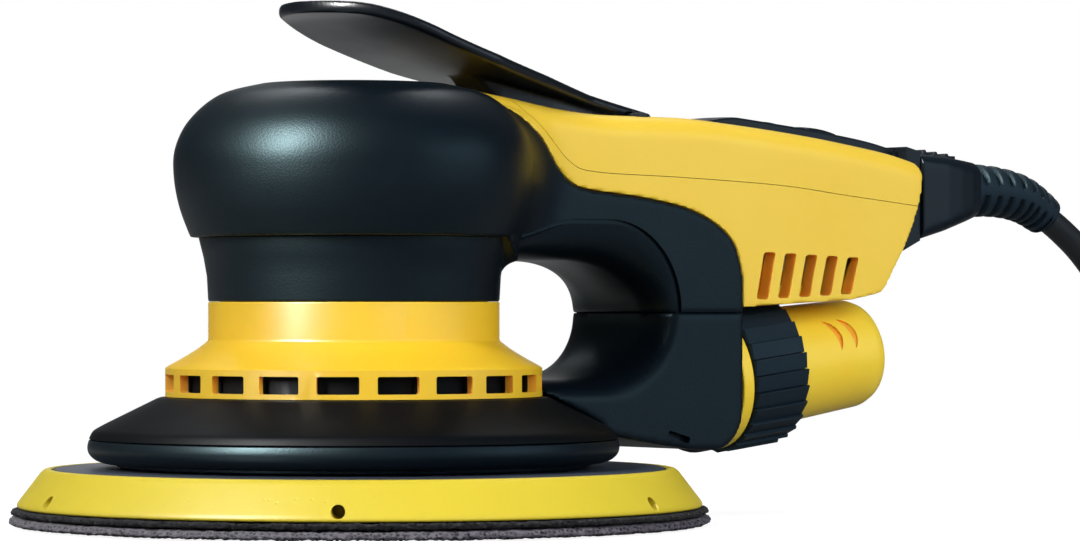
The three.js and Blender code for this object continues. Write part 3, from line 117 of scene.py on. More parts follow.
def oval(x: float, z: float, wide: float, high: float, start: float, end: float, steps: int) -> Outline:
    """Points on an ellipse's arc about (x, z), from one angle of its circle to another, in degrees."""
    return [(x + wide * across, z + high * up) for across, up in arc(0, 0, 1, start, end, steps)]


def offset(points: Sequence[Point], distance: float) -> Outline:
    """Moves a polyline sideways, to its left for a positive distance.

    Args:
        points: The line's points.
        distance: How far it moves.

    Returns:
        As many points as before.
    """
    beside = []
    for i, (x, z) in enumerate(points):
        x0, z0 = points[max(i - 1, 0)]
        x1, z1 = points[min(i + 1, len(points) - 1)]
        length = math.hypot(x1 - x0, z1 - z0)
        beside.append((x - distance * (z1 - z0) / length, z + distance * (x1 - x0) / length))
    return beside


def along(curve: Sequence[Point], x: float) -> float:
    """The value at x of a curve of (x, value) points, straight between them and level past its ends.

    Args:
        curve: The curve's points, with x rising.
        x: Where it is read.

    Returns:
        The value there.
    """
    if x <= curve[0][0]:
        return curve[0][1]
    for (x0, v0), (x1, v1) in zip(curve, curve[1:]):
        if x <= x1:
            return v0 + (v1 - v0) * (x - x0) / (x1 - x0)
    return curve[-1][1]


def polar(radius: float, degrees: float) -> Point:
    """A point at a distance and an angle from the origin."""
    return radius * math.cos(math.radians(degrees)), radius * math.sin(math.radians(degrees))


def rounded(points: Sequence[Point], radii: dict[int, float], steps: int = 4) -> Outline:
    """Rounds chosen corners of a profile with short curves.

    Args:
        points: The profile's corners in order.
        radii: For each corner's index, how far from it the rounding starts.
        steps: Points along each rounding.

    Returns:
        The profile with its corners rounded.
    """
    made: Outline = []
    count = len(points)
    for i, corner in enumerate(points):
        reach = radii.get(i, 0.0)
        if reach <= 0:
            made.append(corner)
            continue
        here = Vector(corner)
        before = Vector(points[(i - 1) % count]) - here
        after = Vector(points[(i + 1) % count]) - here
        start = here + before.normalized() * min(reach, before.length * 0.49)
        end = here + after.normalized() * min(reach, after.length * 0.49)
        for k in range(steps + 1):
            t = k / steps
            point = start * (1 - t) ** 2 + here * 2 * t * (1 - t) + end * t**2
            made.append((point.x, point.y))
    return made


def all_round(points: Sequence[Point], reach: float) -> Outline:
    """Rounds every corner of a profile alike."""
    return rounded(points, {k: reach for k in range(len(points))})


def rectangle(wide: float, high: float) -> Outline:
    """A rectangle about the origin."""
    x, z = wide / 2, high / 2
    return [(-x, -z), (x, -z), (x, z), (-x, z)]


def soft_step(share: float) -> float:
    """A share that is held between 0 and 1, with a soft start and a soft end."""
    held = min(max(share, 0.0), 1.0)
    return held * held * (3 - 2 * held)


# -------- solids in millimetres


class Join(Enum):
    """How two solids are put together."""

    ADD = "UNION"
    CUT = "DIFFERENCE"
    KEEP = "INTERSECT"


def linked(name: str, data: bpy.types.ID) -> bpy.types.Object:
    """Makes an object of a mesh, a cord, a lamp or a camera, and puts it into the scene.

    Args:
        name: The object's name.
        data: What it shows.

    Returns:
        The object, at the origin.
    """
    made = bpy.data.objects.new(name, data)
    bpy.context.scene.collection.objects.link(made)
    return made


def evaluated(mesh: bpy.types.Mesh, kind: str, **settings: object) -> bpy.types.Mesh:
    """Applies one modifier to a mesh.

    Args:
        mesh: The mesh, which is used up.
        kind: The modifier's type.
        settings: The modifier's settings by name.

    Returns:
        A new mesh.
    """
    holder = linked("holder", mesh)
    modifier = holder.modifiers.new(kind.title(), kind)
    for name, value in settings.items():
        setattr(modifier, name, value)
    graph = bpy.context.evaluated_depsgraph_get()
    made = bpy.data.meshes.new_from_object(holder.evaluated_get(graph), depsgraph=graph)
    bpy.data.objects.remove(holder)
    bpy.data.meshes.remove(mesh)
    return made


class Solid:
    """A closed body in millimetres that others can be joined to or cut from."""

    def __init__(self, bm: BMesh) -> None:
        """Takes over a bmesh, which is freed.

        Args:
            bm: A closed body in millimetres.
        """
        self.mesh = bpy.data.meshes.new("solid")
        bmesh.ops.remove_doubles(bm, verts=bm.verts, dist=1e-4)
        bmesh.ops.recalc_face_normals(bm, faces=bm.faces)
        bm.to_mesh(self.mesh)
        bm.free()

    def combine(self, how: Join, *others: "Solid") -> "Solid":
        """Joins, cuts or keeps within other solids, which are used up.

        Args:
            how: Whether they are joined, cut away or kept.
            others: The other solids.

        Returns:
            This solid.
        """
        for other in others:
            tool = linked("tool", other.mesh)
            self.mesh = evaluated(self.mesh, "BOOLEAN", operation=how.value, solver="MANIFOLD", object=tool)
            bpy.data.objects.remove(tool)
            bpy.data.meshes.remove(other.mesh)
        return self

    def twin(self) -> "Solid":
        """Gives a copy.

        Returns:
            A new solid with the same shape.
        """
        bm = bmesh.new()
        bm.from_mesh(self.mesh)
        return Solid(bm)

    def add(self, *others: "Solid") -> "Solid":
        """Joins other solids to this one."""
        return self.combine(Join.ADD, *others)

    def cut(self, *others: "Solid") -> "Solid":
        """Takes other solids away from this one."""
        return self.combine(Join.CUT, *others)

    def keep(self, *others: "Solid") -> "Solid":
        """Keeps only what lies inside the others."""
        return self.combine(Join.KEEP, *others)

    def moulded(self, voxel: float, relax: int) -> "Solid":
        """Gives every edge the small radius of a moulding.

        Args:
            voxel: The new faces' size in millimetres.
            relax: Rounds of smoothing: more rounds give larger radii.

        Returns:
            This solid with an even, smooth mesh.
        """
        self.mesh = evaluated(self.mesh, "REMESH", mode="VOXEL", voxel_size=voxel, use_smooth_shade=True)
        if relax:
            self.mesh = evaluated(self.mesh, "SMOOTH", factor=0.5, iterations=relax)
        return self

    def eased(self, width: float, segments: int = 2, angle: float = 40.0) -> "Solid":
        """Bevels every edge that is sharper than an angle in degrees.

        Args:
            width: The bevel's width in millimetres.
            segments: Its faces across.
            angle: The angle in degrees.

        Returns:
            This solid.
        """
        self.mesh = evaluated(
            self.mesh,
            "BEVEL",
            width=width,
            segments=segments,
            limit_method="ANGLE",
            angle_limit=math.radians(angle),
            use_clamp_overlap=True,
            harden_normals=False,
        )
        return self


def about(axis: str, degrees: float) -> Matrix:
    """A turn about an axis through the origin."""
    return Matrix.Rotation(math.radians(degrees), 4, axis)


def moved(x: float, y: float, z: float) -> Matrix:
    """A move by millimetres."""
    return Matrix.Translation((x, y, z))


def ring_of(bm: BMesh, points: Iterable[Sequence[float]], closed: bool = True) -> list[bmesh.types.BMEdge]:
    """Adds a line of vertices and its edges to a bmesh.

    Args:
        bm: Where they go.
        points: Their places.
        closed: Whether the last joins the first.

    Returns:
        The new edges.
    """
    verts = [bm.verts.new(point) for point in points]
    pairs = list(zip(verts, verts[1:]))
    if closed:
        pairs.append((verts[-1], verts[0]))
    return [bm.edges.new(pair) for pair in pairs]


def turned(profile: Sequence[Point], steps: int = 128) -> BMesh:
    """Spins a profile of (radius, height) about +Z.

    Args:
        profile: An open line whose ends are on the axis, or a ring that stays off it.
        steps: Faces round the piece.

    Returns:
        The turned body.
    """
    bm = bmesh.new()
    on_axis = profile[0][0] == 0 and profile[-1][0] == 0
    ring_of(bm, [(r, 0.0, z) for r, z in profile], closed=not on_axis)
    bmesh.ops.spin(
        bm,
        geom=bm.verts[:] + bm.edges[:],
        cent=(0, 0, 0),
        axis=(0, 0, 1),
        angle=math.tau,
        steps=steps,
        use_merge=True,
    )
    bmesh.ops.remove_doubles(bm, verts=bm.verts, dist=1e-4)
    bmesh.ops.recalc_face_normals(bm, faces=bm.faces)
    return bm


def prism(outline: Sequence[Point], half: float) -> BMesh:
    """Extrudes an outline in the XZ plane to both sides of Y = 0.

    Args:
        outline: Its corners as (x, z).
        half: Half its depth along Y.

    Returns:
        The closed body.
    """
    bm = bmesh.new()
    edges = ring_of(bm, [(x, -half, z) for x, z in outline])
    face = bmesh.ops.contextual_create(bm, geom=edges)["faces"]
    swept = bmesh.ops.extrude_face_region(bm, geom=face)["geom"]
    far = [item for item in swept if isinstance(item, bmesh.types.BMVert)]
    bmesh.ops.translate(bm, verts=far, vec=(0, 2 * half, 0))
    bmesh.ops.recalc_face_normals(bm, faces=bm.faces)
    return bm


def plate(outline: Sequence[Point], low: float, high: float) -> BMesh:
    """Extrudes an outline in the XY plane from one height to another.

    Args:
        outline: Its corners as (x, y).
        low: The height of its bottom.
        high: The height of its top.

    Returns:
        The closed body.
    """
    bm = prism([(x, y) for x, y in outline], 0.5)
    bmesh.ops.transform(bm, verts=bm.verts, matrix=about("X", -90))
    bmesh.ops.scale(bm, verts=bm.verts, vec=(1, -1, high - low))
    bmesh.ops.translate(bm, verts=bm.verts, vec=(0, 0, (low + high) / 2))
    bmesh.ops.recalc_face_normals(bm, faces=bm.faces)
    return bm


def lofted(rings: Sequence[Sequence[Sequence[float]]], around: bool = False) -> BMesh:
    """Bridges rings of points that all have the same count.

    Args:
        rings: The rings in order.
        around: Whether the last ring joins the first, so that there are no ends to close.

    Returns:
        The closed body.
    """
    bm = bmesh.new()
    loops = [ring_of(bm, ring) for ring in rings]
    pairs = list(zip(loops, loops[1:]))
    if around:
        pairs.append((loops[-1], loops[0]))
    for first, second in pairs:
        bmesh.ops.bridge_loops(bm, edges=first + second)
    if not around:
        for end in (loops[0], loops[-1]):
            bmesh.ops.contextual_create(bm, geom=end)
    bmesh.ops.recalc_face_normals(bm, faces=bm.faces)
    return bm


def block(x0: float, x1: float, y0: float, y1: float, z0: float, z1: float) -> BMesh:
    """A box between two corners.

    Args:
        x0: Its front.
        x1: Its rear.
        y0: Its left.
        y1: Its right.
        z0: Its bottom.
        z1: Its top.

    Returns:
        The closed body.
    """
    bm = bmesh.new()
    bmesh.ops.create_cube(bm, size=1.0)
    bmesh.ops.scale(bm, verts=bm.verts, vec=(x1 - x0, y1 - y0, z1 - z0))
    bmesh.ops.translate(bm, verts=bm.verts, vec=((x0 + x1) / 2, (y0 + y1) / 2, (z0 + z1) / 2))
    return bm


def rod(radius: float, low: float, high: float, x: float = 0.0, y: float = 0.0, steps: int = 48) -> BMesh:
    """A round rod along +Z.

    Args:
        radius: Its radius.
        low: The height of its bottom.
        high: The height of its top.
        x: Where its axis stands.
        y: And where across.
        steps: Faces round it.

    Returns:
        The closed body.
    """
    bm = bmesh.new()
    bmesh.ops.create_cone(
        bm, cap_ends=True, segments=steps, radius1=radius, radius2=radius, depth=high - low
    )
    bmesh.ops.translate(bm, verts=bm.verts, vec=(x, y, (low + high) / 2))
    return bm


def placed(bm: BMesh, *matrices: Matrix) -> BMesh:
    """Moves a bmesh by one matrix after another.

    Args:
        bm: What is moved.
        matrices: The moves in order.

    Returns:
        The same bmesh.
    """
    for matrix in matrices:
        bmesh.ops.transform(bm, verts=bm.verts, matrix=matrix)
    return bm


def cross_rod(radius: float, half: float, x: float, z: float) -> Solid:
    """A round rod along Y, to both sides of Y = 0."""
    lying = about("X", 90)
    return Solid(placed(rod(radius, -half, half, steps=32), lying, moved(x, 0, z)))


def section(
    x: float, half: float, low: float, high: float, low_radius: float, high_radius: float, crown: float = 0.0
) -> list[Place]:
    """One ring of a loft along X: a rectangle across it with rounded corners and a crowned top.

    Args:
        x: Where it stands.
        half: Half its width.
        low: Its bottom.
        high: Its top at the corners.
        low_radius: Rounding of the lower corners.
        high_radius: Rounding of the upper corners.
        crown: How much higher its top is at the middle.

    Returns:
        The ring's points.
    """
    steps = 7
    corners = (
        (half - low_radius, low + low_radius, low_radius, -90),
        (half - high_radius, high - high_radius, high_radius, 0),
        (-half + high_radius, high - high_radius, high_radius, 90),
        (-half + low_radius, low + low_radius, low_radius, 180),
    )
    made = []
    for k, (y, z, radius, start) in enumerate(corners):
        for i in range(steps + 1):
            angle = math.radians(start + 90 * i / steps)
            made.append((x, y + radius * math.cos(angle), z + radius * math.sin(angle)))
        if k == 1:
            reach = half - high_radius
            made += [
                (x, reach * (1 - 2 * j / 8), high + crown * (1 - (1 - 2 * j / 8) ** 2)) for j in range(1, 8)
            ]
    return made


# -------- finishes


def add_node(
    tree: bpy.types.NodeTree, kind: str, links: dict[str | int, object] | None = None, **settings: object
) -> bpy.types.Node:
    """Adds a node to a material.

    Args:
        tree: The material's node tree.
        kind: The node's type name, without its ShaderNode prefix.
        links: For each input, by name or number, an output socket or a value.
        settings: The node's own settings by name.

    Returns:
        The new node.
    """
    made = tree.nodes.new("ShaderNode" + kind)
    for name, value in settings.items():
        setattr(made, name, value)
    for key, value in (links or {}).items():
        if isinstance(value, Socket):
            tree.links.new(value, made.inputs[key])
        else:
            made.inputs[key].default_value = value
    return made


def per_metre(millimetres: float) -> float:
    """The texture scale, on Object coordinates in metres, of a pattern with this spacing."""
    return 1000.0 / millimetres


@dataclass
class Surface:
    """A material that is being dressed: its nodes, its shader and the place on the object."""

    tree: bpy.types.NodeTree
    shader: bpy.types.Node
    place: Socket

    def settle(self, values: dict[str, object]) -> None:
        """Sets constants on the shader's own sockets."""
        for name, value in values.items():
            self.shader.inputs[name].default_value = value

    def drive(self, name: str, source: Socket) -> None:
        """Links one of the shader's sockets to a pattern."""
        self.tree.links.new(source, self.shader.inputs[name])

    def pattern(
        self,
        kind: str,
        spacing: float,
        links: dict[str | int, object] | None = None,
        output: str | int = 0,
        **settings: object,
    ) -> Socket:
        """Lays a texture over the object.

        Args:
            kind: The texture's name.
            spacing: Its spacing in millimetres.
            links: Its other inputs.
            output: Which of its outputs is used.
            settings: The node's own settings by name.

        Returns:
            The output's socket.
        """
        inputs = {"Vector": self.place, "Scale": per_metre(spacing), **(links or {})}
        return add_node(self.tree, "Tex" + kind, inputs, **settings).outputs[output]

    def blend(self, share: Socket, dark: str, light: str) -> None:
        """Colours the surface between two shades by a pattern from 0 to 1."""
        mixed = add_node(self.tree, "Mix", {0: share, 6: linear(dark), 7: linear(light)}, data_type="RGBA")
        self.drive("Base Color", mixed.outputs[2])

    def mottle(self, spacing: float, dark: str, light: str) -> None:
        """Drifts the colour between two close shades over a spacing in millimetres."""
        self.blend(self.pattern("Noise", spacing, {"Detail": 3.0}), dark, light)

    def emboss(self, height: Socket, distance: float, strength: float = 1.0) -> None:
        """Raises a pattern from 0 to 1 by a distance in millimetres, in the bump.

        Args:
            height: The pattern.
            distance: How high its ones stand.
            strength: How much of that shows.
        """
        raised = {"Height": height, "Distance": distance * MM, "Strength": strength}
        bump = add_node(self.tree, "Bump", raised)
        self.drive("Normal", bump.outputs["Normal"])

    def vary_roughness(self, source: Socket, middle: float, spread: float) -> None:
        """Spreads the roughness to both sides of a value by a pattern from 0 to 1."""
        level = add_node(self.tree, "MapRange", {"Value": source, 3: middle - spread, 4: middle + spread})
        self.drive("Roughness", level.outputs["Result"])


@dataclass(frozen=True)
class Finish:
    """What every finish has: a colour in sRGB, how rough it is and the record's slot it belongs to."""

    name: str
    slot: str
    colour: str
    roughness: float = 0.4

    def build(self) -> bpy.types.Material:
        """Gives the Blender material, which is made on first use.

        Returns:
            The material.
        """
        found = bpy.data.materials.get(self.name)
        if found is not None:
            return found
        material = bpy.data.materials.new(self.name)
        material.use_nodes = True
        material.diffuse_color = linear(self.colour)
        tree = material.node_tree
        surface = Surface(tree, tree.nodes["Principled BSDF"], add_node(tree, "TexCoord").outputs["Object"])
        surface.settle({"Base Color": linear(self.colour), "Roughness": self.roughness})
        self.dress(surface)
        return material

    def dress(self, on: Surface) -> None:
        """Adds what this kind of surface shows. The plain finish adds nothing."""


@dataclass(frozen=True)
class MouldedPlastic(Finish):
    """Injection-moulded ABS or polyamide: a fine spark-eroded grain from the mould under a satin skin."""

    grain: float = 0.35  # spacing of the grain in mm, drawn about twice as coarse as real so that it shows
    depth: float = 0.010  # height of the grain in mm
    drift: float = 9.0  # spacing of the slow changes of gloss in mm
    cloud: float = 24.0  # and of those of colour
    shades: tuple[str, str] | None = None
    shine: float = 0.5  # half is what the index of refraction gives
    glow: float = 0.0  # share of light that passes below the skin of a thin, bright wall

    def dress(self, on: Surface) -> None:
        """Grain in the bump, and a slow drift in colour and gloss.

        Args:
            on: The surface that is dressed.
        """
        on.settle({"Specular IOR Level": self.shine})
        if self.shades:
            on.mottle(self.cloud, *self.shades)
        on.vary_roughness(on.pattern("Noise", self.drift, {"Detail": 4.0}), self.roughness, 0.05)
        on.emboss(on.pattern("Noise", self.grain, {"Detail": 2.0, "Roughness": 0.6}), self.depth)
        if self.glow:
            on.settle(
                {
                    "Subsurface Weight": self.glow,
                    "Subsurface Radius": (0.0022, 0.0012, 0.0003),
                    "Subsurface Scale": 1.0,
                }
            )


@dataclass(frozen=True)
class SoftTouch(Finish):
    """Soft elastomer moulded over the housing: a dense matt skin that scatters highlights widely."""

    grain: float = 0.5  # spacing of the leathery grain in mm, drawn about twice as coarse as real
    depth: float = 0.016
    wear: float = 22.0  # spacing of the patches that hands have polished, in mm
    cloud: float = 30.0  # spacing of the bloom in mm
    bloom: str = "#091019"
    shine: float = 0.3

    def dress(self, on: Surface) -> None:
        """Leathery micro-grain, a faint bluish bloom and patches that hands have polished.

        Args:
            on: The surface that is dressed.
        """
        on.settle({"Specular IOR Level": self.shine, "Specular Tint": linear("#C6EDF2")})
        on.mottle(self.cloud, self.colour, self.bloom)
        on.vary_roughness(on.pattern("Noise", self.wear, {"Detail": 5.0}), self.roughness, 0.07)
        on.emboss(on.pattern("Voronoi", self.grain), self.depth)


@dataclass(frozen=True)
class SkinnedFoam(Finish):
    """Polyurethane foam cast against a mould: a closed waxy skin with pinholes where bubbles burst."""

    pore: float = 2.6  # spacing of the pinholes in mm
    dent: float = 3.2  # spacing of the skin's soft dents in mm
    depth: float = 0.05
    cloud: float = 18.0
    hollow: str = "#D1BA2E"

    def dress(self, on: Surface) -> None:
        """Pinholes, soft dents of the skin and a colour that drifts a little greener in the hollows.

        Args:
            on: The surface that is dressed.
        """
        on.settle(
            {
                "Specular IOR Level": 0.25,
                "Subsurface Weight": 0.15,
                "Subsurface Radius": (0.002, 0.0014, 0.0004),
            }
        )
        on.mottle(self.cloud, self.colour, self.hollow)
        bubbles = on.pattern("Voronoi", self.pore)
        holes = add_node(on.tree, "MapRange", {"Value": bubbles, 1: 0.04, 2: 0.16}).outputs["Result"]
        dents = on.pattern("Noise", self.dent, {"Detail": 4.0})
        height = add_node(on.tree, "Math", {0: holes, 1: dents}, operation="ADD").outputs[0]
        on.emboss(height, self.depth, 0.8)


@dataclass(frozen=True)
class NappedFelt(Finish):
    """The hook layer's black nap: loops and hooks that swallow light and show a grey rim."""

    fibre: float = 0.45  # spacing of the tufts in mm
    depth: float = 0.5
    shades: tuple[str, str] = ("#040405", "#1E1C22")

    def dress(self, on: Surface) -> None:
        """Tufts in the bump and colour, and a sheen that lights only the raised fibres.

        Args:
            on: The surface that is dressed.
        """
        on.settle({"Specular IOR Level": 0.1, "Sheen Weight": 0.12, "Sheen Roughness": 0.4})
        tufts = on.pattern("Noise", self.fibre, {"Detail": 6.0, "Roughness": 0.8})
        on.blend(tufts, *self.shades)
        on.emboss(tufts, self.depth)


@dataclass(frozen=True)
class AbrasiveNet(Finish):
    """A knitted net coated with aluminium oxide grit, grey with a purple cast."""

    mesh: float = 1.1  # spacing of the net's threads in mm
    grain: float = 0.3  # spacing of the grit in mm
    depth: float = 0.35
    shades: tuple[str, str] = ("#131116", "#8E8794")

    def dress(self, on: Surface) -> None:
        """Dark holes between the threads, bright grit on them.

        Args:
            on: The surface that is dressed.
        """
        grit = on.pattern("Noise", self.grain, {"Detail": 4.0, "Roughness": 0.8})
        threads = on.pattern("Voronoi", self.mesh, {"Randomness": 0.35})
        holes = add_node(on.tree, "MapRange", {"Value": threads, 1: 0.2, 2: 0.5}).outputs["Result"]
        lit = add_node(on.tree, "Math", {0: holes, 1: grit}, operation="MULTIPLY").outputs[0]
        on.blend(lit, *self.shades)
        on.emboss(lit, self.depth)


@dataclass(frozen=True)
class MachinedMetal(Finish):
    """Turned or pressed steel, aluminium or brass: fine tool lines and a slight film of oil."""

    lines: float = 0.4  # spacing of the tool lines in mm
    film: float = 6.0  # spacing of the film's patches in mm
    depth: float = 0.01

    def dress(self, on: Surface) -> None:
        """Rings of tool marks up the height, and patchy gloss.

        Args:
            on: The surface that is dressed.
        """
        on.settle({"Metallic": 1.0})
        on.vary_roughness(on.pattern("Noise", self.film, {"Detail": 3.0}), self.roughness, 0.08)
        spacing = WAVE_UNIT * self.lines
        marks = on.pattern("Wave", spacing, {"Distortion": 0.6, "Detail": 1.0}, "Fac", bands_direction="Z")
        on.emboss(marks, self.depth)


@dataclass(frozen=True)
class EnamelledWire(Finish):
    """Copper wire wound in close turns under clear enamel."""

    wire: float = 0.9  # spacing of the turns in mm
    depth: float = 0.25

    def dress(self, on: Surface) -> None:
        """Round turns in the bump and a clear coat of enamel over them.

        Args:
            on: The surface that is dressed.
        """
        on.settle({"Metallic": 1.0, "Coat Weight": 0.6})
        spacing = WAVE_UNIT * self.wire
        turns = on.pattern("Wave", spacing, {"Distortion": 1.0}, "Fac", bands_direction="DIAGONAL")
        on.emboss(turns, self.depth)


@dataclass(frozen=True)
class SolderMask(Finish):
    """Green solder mask over copper tracks."""

    track: float = 2.0  # spacing of the tracks in mm

    def dress(self, on: Surface) -> None:
        """Paler lines where copper lies under the mask.

        Args:
            on: The surface that is dressed.
        """
        on.settle({"Coat Weight": 0.4})
        greens = {"Color1": linear("#1F6A3F"), "Color2": linear("#195734"), "Mortar": linear("#58A36E")}
        on.drive("Base Color", on.pattern("Brick", self.track, {**greens, "Mortar Size": 0.08}, "Color"))


@dataclass(frozen=True)
class CordJacket(Finish):
    """Extruded rubber jacket of a mains lead: a satin skin with faint draw lines along it."""

    dust: float = 7.0  # spacing of the dusty patches in mm
    depth: float = 0.06

    def dress(self, on: Surface) -> None:
        """Draw lines round the jacket, which follow the lead's own UV map, and a dusty mottle.

        Args:
            on: The surface that is dressed.
        """
        along_it = add_node(on.tree, "UVMap", uv_map="UVMap").outputs["UV"]
        drawn = add_node(on.tree, "Mapping", {"Vector": along_it, "Scale": (2.0, 60.0, 1.0)})
        fine = {"Vector": drawn.outputs["Vector"], "Scale": 2.0, "Detail": 3.0}
        on.vary_roughness(on.pattern("Noise", self.dust, {"Detail": 5.0}), self.roughness, 0.1)
        on.emboss(add_node(on.tree, "TexNoise", fine).outputs["Fac"], self.depth)


SOFT_BLACK = SoftTouch("soft_touch_black", "soft_black", "#060D15", 0.4)
RUBBER = SoftTouch("collar_rubber", "soft_black", "#16202A", 0.5, grain=0.7, depth=0.03, bloom="#1B2731")
HARD_BLACK = MouldedPlastic(
    "moulded_polyamide_black", "hard_black", "#0C151D", 0.36, shades=("#0A131B", "#0F1922"), shine=0.25
)
GLOSS_BLACK = MouldedPlastic(
    "moulded_lever_black", "hard_black", "#0A1118", 0.3, shades=("#080E14", "#0D141C"), shine=0.4
)
TAIL_YELLOW = MouldedPlastic(
    "moulded_tail_yellow", "yellow", "#EEC738", 0.33, shades=("#ECC22E", "#F1CD48"), glow=0.12
)
HOUSING_YELLOW = MouldedPlastic(
    "moulded_housing_yellow", "orange_yellow", "#EABC20", 0.36, shades=("#E7B618", "#EDC32C"), glow=0.12
)
NOZZLE_YELLOW = MouldedPlastic(
    "moulded_nozzle_yellow", "orange_yellow", "#FFDA3A", 0.36, shades=("#FCD02E", "#FFE14A"), glow=0.15
)
# Painted shade: a deeper, more orange yellow with much light below its skin, for the walls of slots, windows
# and sunk marks. It stands in for their shade and for the warm light bounced between yellow walls.
PAINTED_SHADE_YELLOW = MouldedPlastic("painted_shade_yellow", "yellow", "#F6B23C", 0.4, glow=0.6)
# The guard's own black, which also paints the shade inside the motor housing, behind its windows.
GUARD_AND_SHADE_BLACK = MouldedPlastic("moulded_guard_black_and_painted_shade", "soft_black", "#06090D", 0.5, shine=0.08)
PAD_YELLOW = SkinnedFoam("cast_foam_yellow", "lemon_foam", "#D8C236", 0.42)
SLATE = MouldedPlastic("moulded_plate_slate", "slate", "#2A3545", 0.42, shades=("#263040", "#303C4E"))
FELT = NappedFelt("hook_nap_black", "felt", "#151417", 0.95)
GRIT = AbrasiveNet("abrasive_net_grey", "grit", "#6B6570", 0.9)
STEEL = MachinedMetal("machined_steel", "steel", "#B9BDC2", 0.3)
BLACK_STEEL = MachinedMetal("blackened_steel", "steel", "#2A2C30", 0.45)
ALUMINIUM = MachinedMetal("extruded_aluminium", "aluminium", "#C6C9CC", 0.4)
COPPER = EnamelledWire("enamelled_copper", "copper", "#B4673A", 0.35)
BOARD = SolderMask("solder_mask_green", "board_green", "#1F5F3A", 0.5)
BRASS = MachinedMetal("turned_brass", "brass", "#C9A24A", 0.28)
JACKET = CordJacket("rubber_cord_jacket", "soft_black", "#16191D", 0.5)


# -------- pieces


def shade(mesh: bpy.types.Mesh, angle: float = 32.0) -> None:
    """Shades a mesh smooth, apart from edges sharper than an angle in degrees."""
    mesh.shade_smooth()
    mesh.set_sharp_from_angle(angle=math.radians(angle))


def piece(
    name: str, source: Solid | BMesh, finish: Finish, body: str, *nodes: str, angle: float = 32.0
) -> bpy.types.Object:
    """Turns a body in millimetres into a piece of the model.

    Args:
        name: The piece's name.
        source: Its shape, which is used up.
        finish: What it is made of.
        body: The CAD body it rides on.
        nodes: The CAD nodes it stands for.
        angle: Edges sharper than this stay sharp, in degrees.

    Returns:
        The piece, at the origin in metres.
    """
    solid = source if isinstance(source, Solid) else Solid(source)
    mesh = solid.mesh
    mesh.name = name
    mesh.transform(Matrix.Scale(MM, 4))
    mesh.materials.clear()
    mesh.materials.append(finish.build())
    shade(mesh, angle)
    made = linked(name, mesh)
    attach(made, body)
    if nodes:
        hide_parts(*nodes)
    log.info("%-24s %6d faces on %s", name, len(mesh.polygons), body)
    return made


def tint(made: bpy.types.Object, finish: Finish, chosen: Callable[[Vector], bool]) -> None:
    """Gives some of a piece's faces a second finish, which here always paints shade.

    Args:
        made: The piece.
        finish: The second finish.
        chosen: Tells from a face's middle, in millimetres, whether it takes that finish.
    """
    made.data.materials.append(finish.build())
    last = len(made.data.materials) - 1
    for face in made.data.polygons:
        if chosen(face.center / MM):
            face.material_index = last


def dress_nodes(finish: Finish, *nodes: str) -> None:
    """Gives CAD nodes whose shape is kept their finish.

    Args:
        finish: What they are made of.
        nodes: Their names in the CAD.
    """
    for name in nodes:
        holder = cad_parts[name]
        holder.data.materials.clear()
        holder.data.materials.append(finish.build())


# -------- studio


@dataclass(frozen=True)
class Lamp:
    """A soft box or a scrim. Its place is in metres: to the camera's right, ahead in its view, and up."""

    name: str
    place: Place
    size: tuple[float, float]
    watts: float
    glossy: bool = True  # whether surfaces mirror it
    diffuse: bool = True  # whether it lights them
    colour: Place = (1.0, 1.0, 1.0)

    def build(self, right: Vector, forward: Vector, target: Vector) -> None:
        """Hangs the lamp.

        Args:
            right: The camera's right.
            forward: The direction it looks in.
            target: What the lamp points at, in metres.
        """
        data = bpy.data.lights.new(self.name, "AREA")
        data.shape = "RECTANGLE"
        data.size, data.size_y = self.size
        data.energy = self.watts
        data.color = self.colour
        made = linked(self.name, data)
        aside, ahead, up = self.place
        made.location = right * aside + forward * ahead + Vector((0, 0, up))
        made.rotation_mode = "QUATERNION"
        made.rotation_quaternion = (target - made.location).to_track_quat("-Z", "Y")
        made.visible_glossy = self.glossy
        made.visible_diffuse = self.diffuse


